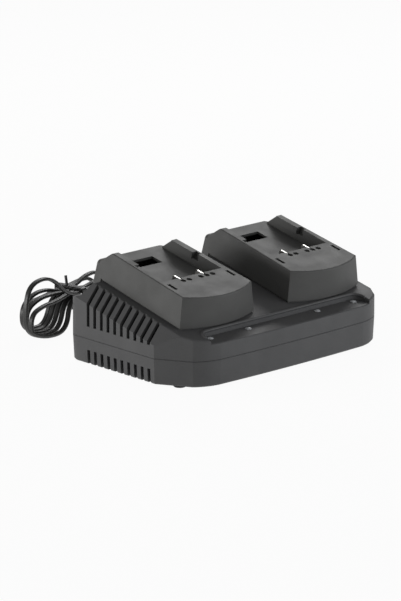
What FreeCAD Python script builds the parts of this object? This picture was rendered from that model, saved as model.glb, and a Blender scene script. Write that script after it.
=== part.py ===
import FreeCAD, Part
import math
import os
import re

from FreeCAD import Vector

# A twin-bay battery charger for slide-on tool packs: a sloping two-part casing with two raised docks,
# the charging electronics and a cooling fan inside, and a flat twin-core mains lead tied in a hank.
# Millimetres. X runs along the long front, +Y to the back, +Z up; the origin is on the table under
# the middle of the casing.

doc = FreeCAD.newDocument("battery_charger")
sheet = doc.addObject("Spreadsheet::Sheet", "Sizes")

# Driving dimensions: name, value, meaning
SIZES = [
    ("case_width", 258.0, "overall width of the casing"),
    ("case_depth", 156.0, "overall depth of the casing"),
    ("foot_height", 2.6, "rubber foot below the bottom shell"),
    ("foot_radius", 6.0, "radius of a rubber foot"),
    ("foot_side", 19.0, "feet inside the casing's sides"),
    ("foot_front", 30.0, "front feet behind the casing's front"),
    ("foot_back", 28.0, "rear feet in front of the casing's back"),
    ("parting_height", 25.8, "height of the joint between the shells"),
    ("wall", 2.5, "wall of both shells"),
    ("draft_inset", 1.0, "how far the bottom shell tapers in at its foot"),
    ("side_front", 42.5, "casing's front to where each side wall turns into its facet"),
    ("facet_run_x", 17.5, "front facet measured along the width"),
    ("facet_run_y", 30.5, "front facet measured along the depth"),
    ("corner_run_x", 24.0, "front corner curve measured along the width"),
    ("corner_run_y", 10.0, "front corner curve measured along the depth"),
    ("rear_corner", 12.0, "plan radius of the rear corners"),
    ("incline", 12.65, "slope of the deck and the docks, degrees"),
    ("deck_height", 60.5, "deck height at mid depth"),
    ("bend_drop", 14.9, "deck down to the bend in each side wall"),
    ("side_lean", 12.5, "how far each side leans in above its bend"),
    ("shelf_height", 62.8, "inner edge of the rear shelf"),
    ("shelf_fall", 4.5, "fall of the rear shelf to its outer edge"),
    ("shelf_depth", 15.5, "depth of the rear shelf"),
    ("shelf_lean", 5.5, "how far the deck's rear drop leans"),
    ("roof_round", 1.8, "rounding of the deck's outer edges"),
    ("front_bow", 2.0, "how far the casing's front bows out"),
    ("vent_count", 10.0, "slots in one bank of vents"),
    ("vent_pitch", 8.74, "spacing of the vent slots"),
    ("vent_width", 3.7, "width of a vent slot"),
    ("vent_rear", 50.2, "middle of the rearmost slot"),
    ("upper_vent_base", 36.9, "bottom of the upper slots"),
    ("lower_vent_top", 15.5, "top of the lower slots"),
    ("panel_side", 32.0, "lamp panel inside the casing's sides"),
    ("panel_depth", 20.5, "lamp panel from the casing's front to its rear edge"),
    ("panel_drop", 5.3, "deck down to the panel at its rear edge"),
    ("panel_incline", 5.0, "slope of the panel, degrees"),
    ("panel_corner", 9.0, "corner radius of the panel"),
    ("panel_round", 1.5, "rounding of the panel's front edge"),
    ("bead_radius", 1.5, "half-round bead behind the panel"),
    ("lamp_spread", 22.7, "lamp distance from its dock's middle"),
    ("lamp_setback", 5.0, "lamps in front of the panel's rear edge"),
    ("lamp_radius", 2.9, "radius of a lamp lens"),
    ("lamp_rise", 0.3, "rim of a lens above the panel"),
    ("lamp_crown", 0.9, "height of a lens's dome above its rim"),
    ("dock_side", 23.0, "docks' tops inside the casing's sides"),
    ("dock_width", 82.0, "width of a dock at its top"),
    ("dock_flare", 3.5, "how far a dock widens to its foot on each side"),
    ("dock_setback", 3.0, "how far a dock's front wall leans in at its foot"),
    ("dock_corner_y", -47.1, "front corners of a dock's top"),
    ("dock_corner_z", 78.8, "height of those corners"),
    ("dock_bow", 11.5, "how far the front of a dock bows out"),
    ("dock_rear", 70.0, "rear wall of a dock at its top"),
    ("dock_rear_flare", 5.4, "how far the rear wall leans out at its foot"),
    ("dock_rear_corner", 6.0, "plan radius of a dock's rear corners"),
    ("dock_wall", 2.4, "wall of a dock"),
    ("dock_gap", 1.5, "shadow gap round a dock's foot"),
    ("dock_round", 1.2, "rounding of a dock's upper edges"),
    ("floor_round", 4.0, "rounding of the floor's rear edge"),
    ("dock_screw_x", 33.0, "dock screws from the dock's middle"),
    ("dock_screw_front", -36.0, "front dock screws along Y"),
    ("dock_screw_back", 30.0, "rear dock screws in front of the casing's back"),
    ("plateau_length", 31.3, "front corners to the plateau's rear edge, along the slope"),
    ("recess_depth", 12.7, "rim down to the dock's floor, square to the slope"),
    ("rim_width", 7.0, "side rims of a dock"),
    ("ear_start", 95.5, "where the rims start to fall away, along the slope"),
    ("ear_end", 108.0, "where the rims reach the floor, along the slope"),
    ("ear_round", 3.0, "rounding where the rims start to fall away"),
    ("rail_width", 2.2, "slide rail standing in from each rim"),
    ("rail_depth", 6.5, "depth of the slide rail"),
    ("rail_length", 27.7, "length of the slide rail from the rim's rear"),
    ("notch_length", 6.5, "latch notch in front of each rail"),
    ("notch_depth", 3.0, "how far the latch notch cuts into the rim"),
    ("window_width", 24.4, "latch window in the dock's floor"),
    ("window_start", 83.0, "front edge of the window, along the slope"),
    ("window_length", 13.6, "length of the window along the slope"),
    ("blade_left", -16.1, "left contact blade from the dock's middle"),
    ("blade_right", 11.5, "right contact blade from the dock's middle"),
    ("blade_thick", 1.4, "thickness of a contact blade"),
    ("blade_reach", 8.2, "how far a blade stands out behind the plateau"),
    ("blade_root", 9.0, "how far a blade reaches in under the plateau"),
    ("blade_height", 8.0, "height of a blade"),
    ("hole_left", -16.7, "leftmost hole in the plateau"),
    ("hole_pitch", 7.0, "spacing of the plateau's holes"),
    ("hole_radius", 2.6, "radius of a plateau hole"),
    ("hole_setback", 5.5, "holes in front of the plateau's rear edge"),
    ("dash_inset", 6.4, "dash slots from the dock's sides"),
    ("dash_start", 14.3, "front end of a dash slot, along the slope"),
    ("dash_length", 11.2, "length of a dash slot"),
    ("dash_width", 3.2, "width of a dash slot"),
    ("board_width", 150.0, "main board along X"),
    ("board_depth", 84.0, "main board along Y"),
    ("board_thick", 1.6, "thickness of the circuit boards"),
    ("board_x", -8.0, "middle of the main board along X"),
    ("board_y", 2.0, "middle of the main board along Y"),
    ("standoff", 6.0, "height of the board's pillars"),
    ("pillar_radius", 4.0, "radius of the screw pillars"),
    ("pillar_inset", 6.0, "board pillars from the board's edges"),
    ("screw_radius", 1.5, "shank radius of the board and dock screws"),
    ("screw_head", 2.8, "head radius of the board and dock screws"),
    ("case_screw_radius", 1.75, "shank radius of the casing screws"),
    ("case_screw_head", 3.4, "head radius of the casing screws"),
    ("case_pillar_radius", 4.6, "radius of the casing's screw pillars"),
    ("case_screw_side", 43.0, "casing screws inside the casing's sides"),
    ("case_screw_front", 31.5, "front casing screws behind the casing's front"),
    ("case_screw_back", 16.0, "rear casing screws in front of the casing's back"),
    ("clearance", 0.3, "gap round parts that are set in"),
    ("fan_size", 40.0, "side of the square cooling fan"),
    ("fan_thick", 15.0, "thickness of the fan"),
    ("fan_side", 25.0, "inner face of the fan inside the casing's side"),
    ("fan_y", 6.0, "middle of the fan along Y"),
    ("fan_bore", 19.0, "radius of the fan's duct"),
    ("fan_tip_gap", 0.6, "gap between blade tips and duct"),
    ("hub_radius", 9.5, "radius of the rotor's hub"),
    ("fan_blades", 7.0, "blades on the rotor"),
    ("plinth_height", 4.0, "plinth under the fan"),
    ("cord_width", 4.8, "width of the flat mains cord"),
    ("gland_x", 40.0, "cord outlet along X"),
    ("gland_z", 14.0, "cord outlet above the table"),
    ("gland_length", 24.0, "length of the strain relief outside the casing"),
    ("plug_length", 38.0, "body of the plug"),
    ("plug_width", 26.0, "width of the plug"),
    ("plug_thick", 14.0, "thickness of the plug"),
    ("pin_length", 19.0, "length of a plug pin"),
    ("pin_radius", 2.0, "radius of a plug pin"),
    ("pin_pitch", 19.0, "spacing of the plug pins"),
    ("hank_turn", 13.0, "hank's run turned from the X axis, degrees"),
    ("hank_loops", 5.0, "loops of cord in the hank"),
    ("hank_step", 5.4, "spacing of the loops under the tie"),
    ("hank_fan", 1.35, "how far the loops fan out beyond the tie"),
    ("hank_waist", 2.6, "half height between the strands under the tie"),
    ("hank_tall", 28.0, "radius of the hank's tallest lobe"),
    ("hank_low", 16.0, "mean radius of its other lobes"),
    ("hank_long", 91.0, "tie to the end of the tallest lobe"),
    ("hank_reach", 80.0, "tie to the end of the other lobes"),
    ("hank_shrink", 5.0, "how much each of these is shorter than the one before"),
    ("tie_width", 6.0, "width of the tie round the hank"),
    ("tie_thick", 1.0, "thickness of the tie"),
]
ALIASES = {name for name, value, meaning in SIZES}
for row, (name, value, meaning) in enumerate(SIZES, start=1):
    sheet.set(f"A{row}", meaning)
    sheet.set(f"B{row}", str(value))
    sheet.setAlias(f"B{row}", name)
doc.recompute()


def size(name):
    """One cell of the sheet as a number."""
    return float(getattr(sheet, name))


def cells(text):
    """An expression in which each cell is written by its plain name."""
    return re.sub(r"[a-z_]+", lambda word: "Sizes." + word[0] if word[0] in ALIASES else word[0], text)


def bind(thing, **sizes):
    for prop, text in sizes.items():
        thing.setExpression(prop.replace("__", "."), cells(text))
    return thing


def block(name, extents, corner):
    """A box with its extents and its lowest corner given as expressions."""
    box = doc.addObject("Part::Box", name)
    bind(box, Length=extents[0], Width=extents[1], Height=extents[2])
    return bind(box, Placement__Base__x=corner[0], Placement__Base__y=corner[1], Placement__Base__z=corner[2])


UPWARD = FreeCAD.Rotation()
ALONG_X = FreeCAD.Rotation(Vector(0, 1, 0), 90)
ALONG_Y = FreeCAD.Rotation(Vector(1, 0, 0), -90)


def rod(name, radius, length, start, turn=UPWARD):
    """A cylinder with its radius, length and the middle of its first face given as expressions."""
    cylinder = doc.addObject("Part::Cylinder", name)
    cylinder.Placement = FreeCAD.Placement(Vector(), turn)
    bind(cylinder, Radius=radius, Height=length)
    return bind(cylinder, Placement__Base__x=start[0], Placement__Base__y=start[1], Placement__Base__z=start[2])


def fuse(name, things):
    joined = doc.addObject("Part::MultiFuse", name)
    joined.Shapes = things
    return joined


def cut(name, base, tool):
    result = doc.addObject("Part::Cut", name)
    result.Base = base
    result.Tool = tool
    return result


def group(name, things):
    """Separate like pieces kept under one label."""
    together = doc.addObject("Part::Compound", name)
    together.Links = things
    return together


def shaped(name, shape):
    """A piece whose shape is worked out from the sheet in this file's own code."""
    thing = doc.addObject("Part::Feature", name)
    thing.Shape = shape
    return thing


parts = []


def keep(thing, label):
    """Name a finished sub-part; the label names its file."""
    thing.Label = label
    parts.append(thing)
    return thing


# Shared places worked out from the driving dimensions
HALF_WIDTH = size("case_width") / 2
HALF_DEPTH = size("case_depth") / 2
SLOPE = math.radians(size("incline"))
RISE = math.tan(SLOPE)
WALL = size("wall")
PARTING = size("parting_height")
FOOT = size("foot_height")
FLOOR_TOP = FOOT + WALL
DECK_EDGE = HALF_WIDTH - size("side_lean")
PANEL_HALF = HALF_WIDTH - size("panel_side")
PANEL_REAR = size("panel_depth") - HALF_DEPTH
FAN_X = HALF_WIDTH - size("fan_side")
DOCK_HALF = size("dock_width") / 2
DOCK_MIDDLES = {"left": size("dock_side") + DOCK_HALF - HALF_WIDTH,
                "right": HALF_WIDTH - size("dock_side") - DOCK_HALF}
CASING_TOP = 110.0
NEAR = 0.02
FAR = 400.0


def deck_at(y):
    """Height of the deck at a depth."""
    return size("deck_height") + RISE * y


PANEL_HEIGHT = deck_at(PANEL_REAR) - size("panel_drop")


def arc(a, b, c):
    return Part.Arc(a, b, c).toShape()


def line(a, b):
    return Part.LineSegment(a, b).toShape()


def prism(corners, along):
    """A straight-sided solid from the corners of one end face."""
    return Part.Face(Part.makePolygon(corners + corners[:1])).extrude(along)


def half_space(point, outward):
    """A large block that fills the outer side of a plane."""
    block_shape = Part.makeBox(2 * FAR, 2 * FAR, FAR, Vector(-FAR, -FAR, 0))
    block_shape.Placement = FreeCAD.Placement(point, FreeCAD.Rotation(Vector(0, 0, 1), outward))
    return block_shape


def edges_where(shape, passes):
    """Edges of a shape whose middle and both ends pass a test."""
    found = []
    for edge in shape.Edges:
        span = edge.LastParameter - edge.FirstParameter
        points = [edge.valueAt(edge.FirstParameter + share * span) for share in (0.05, 0.5, 0.95)]
        if all(passes(point) for point in points):
            found.append(edge)
    return found


# Casing outline: straight sides, a facet and a curve at each front corner, a slightly bowed front
def case_outline(inset, level):
    hw, hd = HALF_WIDTH, HALF_DEPTH
    first = Vector(hw, size("side_front") - hd, 0)
    second = first + Vector(-size("facet_run_x"), -size("facet_run_y"), 0)
    third = second + Vector(-size("corner_run_x"), -size("corner_run_y"), 0)
    nose = Vector(0, -hd, 0)
    front_bend = (second + third) / 2 + Vector(0.28, -0.96, 0) * 1.9
    r = size("rear_corner")
    q = r * (1 - math.sqrt(0.5))

    def mirrored(p):
        return Vector(-p.x, p.y, 0)

    rear_side = Vector(hw, hd - r, 0)
    rear_back = Vector(hw - r, hd, 0)
    rear_mid = Vector(hw - q, hd - q, 0)
    third = Vector(third.x, -hd + size("front_bow"), 0)
    edges = [
        line(first, second), arc(second, front_bend, third), arc(third, nose, mirrored(third)),
        arc(mirrored(third), mirrored(front_bend), mirrored(second)), line(mirrored(second), mirrored(first)),
        line(mirrored(first), mirrored(rear_side)), arc(mirrored(rear_side), mirrored(rear_mid), mirrored(rear_back)),
        line(mirrored(rear_back), rear_back), arc(rear_back, rear_mid, rear_side), line(rear_side, first),
    ]
    wire = Part.Wire(edges)
    if inset:
        wire = wire.makeOffset2D(-inset, 2)
    wire.translate(Vector(0, 0, level))
    return wire


def case_block(sections):
    """A solid through the casing outline at given insets and levels."""
    return Part.makeLoft([case_outline(inset, level) for inset, level in sections], True, True)


def roof_cutters(inset):
    """What is cut from above: the deck's slope, the leaning sides and the stepped back."""
    along = Vector(0, math.cos(SLOPE), math.sin(SLOPE))
    deck_normal = Vector(0, -math.sin(SLOPE), math.cos(SLOPE))
    cutters = [half_space(Vector(0, 0, size("deck_height")) - deck_normal * inset, deck_normal)]
    for side in (-1, 1):
        bend = Vector(side * HALF_WIDTH, 0, size("deck_height") - size("bend_drop"))
        up_the_side = Vector(-side * size("side_lean"), 0, size("bend_drop"))
        outward = along.cross(up_the_side) * (-side)
        outward.normalize()
        if outward.x * side < 0:
            outward = outward * -1
        cutters.append(half_space(bend - outward * inset, outward))
    shelf = HALF_DEPTH - size("shelf_depth")
    lean = size("shelf_lean")
    top = deck_at(shelf - lean)
    outer = size("shelf_height") - size("shelf_fall")
    corners = [
        Vector(-FAR / 2, shelf - inset, size("shelf_height") - inset),
        Vector(-FAR / 2, HALF_DEPTH - inset, outer - inset), Vector(-FAR / 2, FAR / 2, outer - inset),
        Vector(-FAR / 2, FAR / 2, FAR / 2), Vector(-FAR / 2, shelf - lean - inset, FAR / 2),
        Vector(-FAR / 2, shelf - lean - inset, top),
    ]
    cutters.append(prism(corners, Vector(FAR, 0, 0)))
    return cutters


def panel_block(grow, drop):
    """The space above the lamp panel, grown sideways and dropped by a wall."""
    half = PANEL_HALF + grow
    back = PANEL_REAR + grow
    r = size("panel_corner") + grow
    q = r * (1 - math.sqrt(0.5))
    front = -HALF_DEPTH - 20.0
    edges = [
        line(Vector(-half, front, 0), Vector(-half, back - r, 0)),
        arc(Vector(-half, back - r, 0), Vector(-half + q, back - q, 0), Vector(-half + r, back, 0)),
        line(Vector(-half + r, back, 0), Vector(half - r, back, 0)),
        arc(Vector(half - r, back, 0), Vector(half - q, back - q, 0), Vector(half, back - r, 0)),
        line(Vector(half, back - r, 0), Vector(half, front, 0)),
        line(Vector(half, front, 0), Vector(-half, front, 0)),
    ]
    column = Part.Face(Part.Wire(edges)).extrude(Vector(0, 0, FAR))
    tilt = math.radians(size("panel_incline"))
    below = half_space(Vector(0, PANEL_REAR, PANEL_HEIGHT - drop), Vector(0, math.sin(tilt), -math.cos(tilt)))
    return column.cut(below)


def vent_slots(low, high, inner):
    """One bank of slots on each side, from an inner face out through the wall."""
    slots = []
    for side in (-1, 1):
        for count in range(int(size("vent_count"))):
            y = size("vent_rear") - count * size("vent_pitch") - size("vent_width") / 2
            x = inner if side > 0 else -HALF_WIDTH - 10
            slots.append(Part.makeBox(HALF_WIDTH + 10 - inner, size("vent_width"), high - low, Vector(x, y, low)))
    return slots


def column(radius, x, y, low, high):
    return Part.makeCylinder(radius, high - low, Vector(x, y, low))


CASE_SCREWS = [(side * (HALF_WIDTH - size("case_screw_side")), y) for side in (-1, 1)
               for y in (size("case_screw_front") - HALF_DEPTH, HALF_DEPTH - size("case_screw_back"))]
BOARD_SCREWS = [(size("board_x") + sx * (size("board_width") / 2 - size("pillar_inset")),
                 size("board_y") + sy * (size("board_depth") / 2 - size("pillar_inset")))
                for sx in (-1, 1) for sy in (-1, 1)]
BOARD_BASE = FLOOR_TOP + size("standoff")
BOARD_TOP = BOARD_BASE + size("board_thick")


# Bottom shell
def bottom_shell():
    foot_inset = size("draft_inset")
    outer = case_block([(foot_inset + 1.2, FOOT), (foot_inset, FOOT + 1.4), (0.0, PARTING - 0.5), (0.4, PARTING)])
    inner = case_block([(foot_inset + WALL, FLOOR_TOP), (WALL, PARTING + 1)])
    shell = outer.cut(inner)
    for x, y in BOARD_SCREWS:
        shell = shell.fuse(column(size("pillar_radius"), x, y, FLOOR_TOP - 0.5, BOARD_BASE))
    for x, y in CASE_SCREWS:
        shell = shell.fuse(column(size("case_pillar_radius"), x, y, FLOOR_TOP - 0.5, PARTING))
    fan_half = size("fan_size") / 2
    plinth = Part.makeBox(size("fan_thick") + 6, size("fan_size") + 6, size("plinth_height") + 0.5,
                          Vector(FAN_X - 3, size("fan_y") - fan_half - 3, FLOOR_TOP - 0.5))
    cheeks = Part.makeBox(size("fan_thick") + 6, size("fan_size") + 6, 6,
                          Vector(FAN_X - 3, size("fan_y") - fan_half - 3, FLOOR_TOP + size("plinth_height") - 0.1))
    gap = size("clearance")
    room = Part.makeBox(size("fan_thick") + 2 * gap, size("fan_size") + 2 * gap, 20,
                        Vector(FAN_X - gap, size("fan_y") - fan_half - gap, FLOOR_TOP + size("plinth_height")))
    duct = Part.makeBox(size("fan_thick") + 30, size("fan_size") - 8, 20,
                        Vector(FAN_X - 10, size("fan_y") - fan_half + 4, FLOOR_TOP + size("plinth_height")))
    shell = shell.fuse(plinth.fuse(cheeks.cut(room).cut(duct)))
    seat = Part.makeBox(12, 14, size("gland_z") - 3.2 - FLOOR_TOP + 0.5,
                        Vector(size("gland_x") - 6, HALF_DEPTH - WALL - 21, FLOOR_TOP - 0.5))
    shell = shell.fuse(seat)
    for side in (-1, 1):
        post = column(3.5, size("gland_x") + side * CLAMP_SCREW, CLAMP_Y, FLOOR_TOP - 0.5, size("gland_z") - 1)
        shell = shell.fuse(post)
    holes = vent_slots(FOOT - 5, size("lower_vent_top"), HALF_WIDTH - 7)
    for x, y in BOARD_SCREWS:
        holes.append(column(size("screw_radius") + 0.05, x, y, FLOOR_TOP + 1, BOARD_BASE + 1))
    for x, y in CASE_SCREWS:
        holes.append(column(size("case_screw_radius") + 0.2, x, y, 0, PARTING + 1))
        holes.append(column(size("case_screw_head") + 0.4, x, y, 0, FOOT + 6))
    for x, y in FEET:
        holes.append(column(size("foot_radius") - 2.5 + 0.05, x, y, 0, FOOT + 1.2))
    holes.append(Part.makeCylinder(GLAND_NECK + 0.05, 20, Vector(size("gland_x"), HALF_DEPTH - 10, size("gland_z")),
                                   Vector(0, 1, 0)))
    for side in (-1, 1):
        holes.append(column(size("screw_radius") + 0.05, size("gland_x") + side * CLAMP_SCREW, CLAMP_Y, FLOOR_TOP + 1,
                            size("gland_z")))
    return shell.cut(holes).removeSplitter()


FEET = [(side * (HALF_WIDTH - size("foot_side")), y) for side in (-1, 1)
        for y in (size("foot_front") - HALF_DEPTH, HALF_DEPTH - size("foot_back"))]
GLAND_NECK = 4.2
CLAMP_SCREW = 8.5
CLAMP_Y = HALF_DEPTH - WALL - 14


def casing_form(raised):
    """The casing's outer form above its parting, with its roof raised by a gap."""
    sections = [(0.5, PARTING), (0.0, PARTING + 0.5), (0.6, CASING_TOP)]
    return case_block(sections).cut(roof_cutters(-raised))


def on_deck(point):
    return abs(point.z - deck_at(point.y)) < NEAR


def on_panel_front(point):
    panel = PANEL_HEIGHT + math.tan(math.radians(size("panel_incline"))) * (point.y - PANEL_REAR)
    return point.y < PANEL_REAR - 0.7 * size("panel_depth") and abs(point.z - panel) < NEAR


# Top shell: deck, leaning vented sides, lamp panel with its bead, an opening under each dock
def top_shell():
    outer = casing_form(0.0).cut(panel_block(0.0, 0.0))
    outer = outer.makeFillet(size("panel_round"), edges_where(outer, on_panel_front))
    outer = outer.makeFillet(size("roof_round"), edges_where(outer, on_deck))
    inner = case_block([(WALL, PARTING - 1), (WALL + 0.6, CASING_TOP)])
    inner = inner.cut(roof_cutters(WALL)).cut(panel_block(WALL, WALL))
    shell = outer.cut(inner)
    pillars = [column(size("case_pillar_radius"), x, y, PARTING, 109) for x, y in CASE_SCREWS]
    pillars = [pillar.common(outer) for pillar in pillars]
    shell = shell.fuse(pillars)
    shell = shell.fuse(panel_bead())
    holes = vent_slots(size("upper_vent_base"), 120.0, DECK_EDGE - 1.2)
    for x, y in CASE_SCREWS:
        holes.append(column(size("case_screw_radius") - 0.15, x, y, PARTING - 1, PARTING + 9))
    for x, y in LAMPS:
        holes.append(column(size("lamp_radius") + 0.05, x, y, PARTING + 2, 60))
    for middle in DOCK_MIDDLES.values():
        holes.append(Part.makeBox(56, 70, 60, Vector(middle - 28, -32, PARTING + 8)))
        for sx, y in DOCK_SCREWS:
            holes.append(column(size("screw_radius") + 0.15, middle + sx, y, PARTING + 8, 100))
    return shell.cut(holes).removeSplitter()


LAMPS = [(middle + side * size("lamp_spread"), PANEL_REAR - size("lamp_setback"))
         for middle in DOCK_MIDDLES.values() for side in (-1, 1)]
DOCK_SCREWS = [(side * size("dock_screw_x"), y) for side in (-1, 1)
               for y in (size("dock_screw_front"), HALF_DEPTH - size("dock_screw_back"))]


def panel_bead():
    """The half-round bead along the panel's rear edge and round its corners, lying in the deck's slope."""
    r = size("panel_corner") + 0.4
    half = PANEL_HALF
    back = PANEL_REAR + 0.4
    q = r * (1 - math.sqrt(0.5))

    def on_deck(x, y):
        return Vector(x, y, deck_at(y) - 0.4)

    start = Vector(-half - 0.4, back - r, 0)
    points = [start, Vector(-half - 0.4 + q, back - q, 0), Vector(-half - 0.4 + r, back, 0)]
    raised = [on_deck(p.x, p.y) for p in points]
    other = [on_deck(-p.x, p.y) for p in points]
    wire = Part.Wire([arc(*raised), line(raised[2], other[2]), arc(other[2], other[1], other[0])])
    tangent = wire.Edges[0].tangentAt(wire.Edges[0].FirstParameter)
    ring = Part.Wire(Part.makeCircle(size("bead_radius"), raised[0], tangent))
    bead = wire.makePipeShell([ring], True, False)
    for end in (raised[0], other[0]):
        bead = bead.fuse(Part.makeSphere(size("bead_radius"), end))
    return bead


def dock_outline(half, corner, apex, rear, r, level, middle):
    """Plan of a dock: straight sides, a bowed front and rounded rear corners."""
    q = r * (1 - math.sqrt(0.5))
    edges = [
        arc(Vector(-half, corner, 0), Vector(0, apex, 0), Vector(half, corner, 0)),
        line(Vector(half, corner, 0), Vector(half, rear - r, 0)),
        arc(Vector(half, rear - r, 0), Vector(half - q, rear - q, 0), Vector(half - r, rear, 0)),
        line(Vector(half - r, rear, 0), Vector(-half + r, rear, 0)),
        arc(Vector(-half + r, rear, 0), Vector(-half + q, rear - q, 0), Vector(-half, rear - r, 0)),
        line(Vector(-half, rear - r, 0), Vector(-half, corner, 0)),
    ]
    wire = Part.Wire(edges)
    wire.translate(Vector(middle, 0, level))
    return wire


DOCK_LOW, DOCK_HIGH = 40.0, 115.0
RIM_LEVEL = size("dock_corner_z")
RIM_NORMAL = Vector(0, -math.sin(SLOPE), math.cos(SLOPE))
UP_SLOPE = Vector(0, math.cos(SLOPE), math.sin(SLOPE))


def dock_frame(middle):
    """Placement whose X runs across a dock, Y up its slope and Z square to its rims."""
    return FreeCAD.Placement(Vector(middle, size("dock_corner_y"), RIM_LEVEL),
                             FreeCAD.Rotation(Vector(1, 0, 0), size("incline")))


def in_dock(middle, shape):
    """Put a shape that was made in a dock's own frame in its place."""
    shape.Placement = dock_frame(middle).multiply(shape.Placement)
    return shape


def dock_box(middle, x, t, depth, width, length, height):
    """A box in a dock's frame: its low corner and its extents."""
    return in_dock(middle, Part.makeBox(width, length, height, Vector(x, t, depth)))


def dock_body(middle, inset):
    """A dock's outer form, or the space inside its walls."""
    half = size("dock_width") / 2
    corner, apex = size("dock_corner_y"), size("dock_corner_y") - size("dock_bow")
    rear, r = size("dock_rear"), size("dock_rear_corner")
    foot_half = half + size("dock_flare")
    back = size("dock_setback")
    tall = DOCK_HIGH - DOCK_LOW
    deck_front = deck_at(corner)
    grow = (RIM_LEVEL - DOCK_LOW) / (RIM_LEVEL - deck_front)
    low = dock_outline(half + size("dock_flare") * grow - inset, corner + inset * 0.6,
                       apex + back * grow + inset, rear + size("dock_rear_flare") * grow - inset,
                       max(r - inset, 1.0), DOCK_LOW, middle)
    spread = grow - tall / (RIM_LEVEL - deck_front)
    high = dock_outline(half + size("dock_flare") * spread - inset, corner + inset * 0.6,
                        apex + back * spread + inset, rear + size("dock_rear_flare") * spread - inset,
                        max(r - inset, 1.0), DOCK_HIGH, middle)
    return Part.makeLoft([low, high], True, True)


def rim_fall(middle, start, end, depth):
    """What is cut where the side rims fall away to the floor, with a rounded start."""
    side = -DOCK_HALF - 10
    slope = math.atan2(depth, end - start)
    r = size("ear_round")
    centre = Vector(side, start - r * math.tan(slope / 2), -r)

    def on_round(angle):
        return centre + Vector(0, math.sin(angle), math.cos(angle)) * r

    corners = [on_round(slope), Vector(side, end, -depth), Vector(side, end + FAR / 2, -depth),
               Vector(side, end + FAR / 2, FAR / 2), Vector(side, centre.y, FAR / 2), on_round(0)]
    edges = [line(a, b) for a, b in zip(corners, corners[1:])]
    edges.append(arc(on_round(0), on_round(slope / 2), on_round(slope)))
    return in_dock(middle, Part.Face(Part.Wire(edges)).extrude(Vector(-2 * side, 0, 0)))


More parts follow.
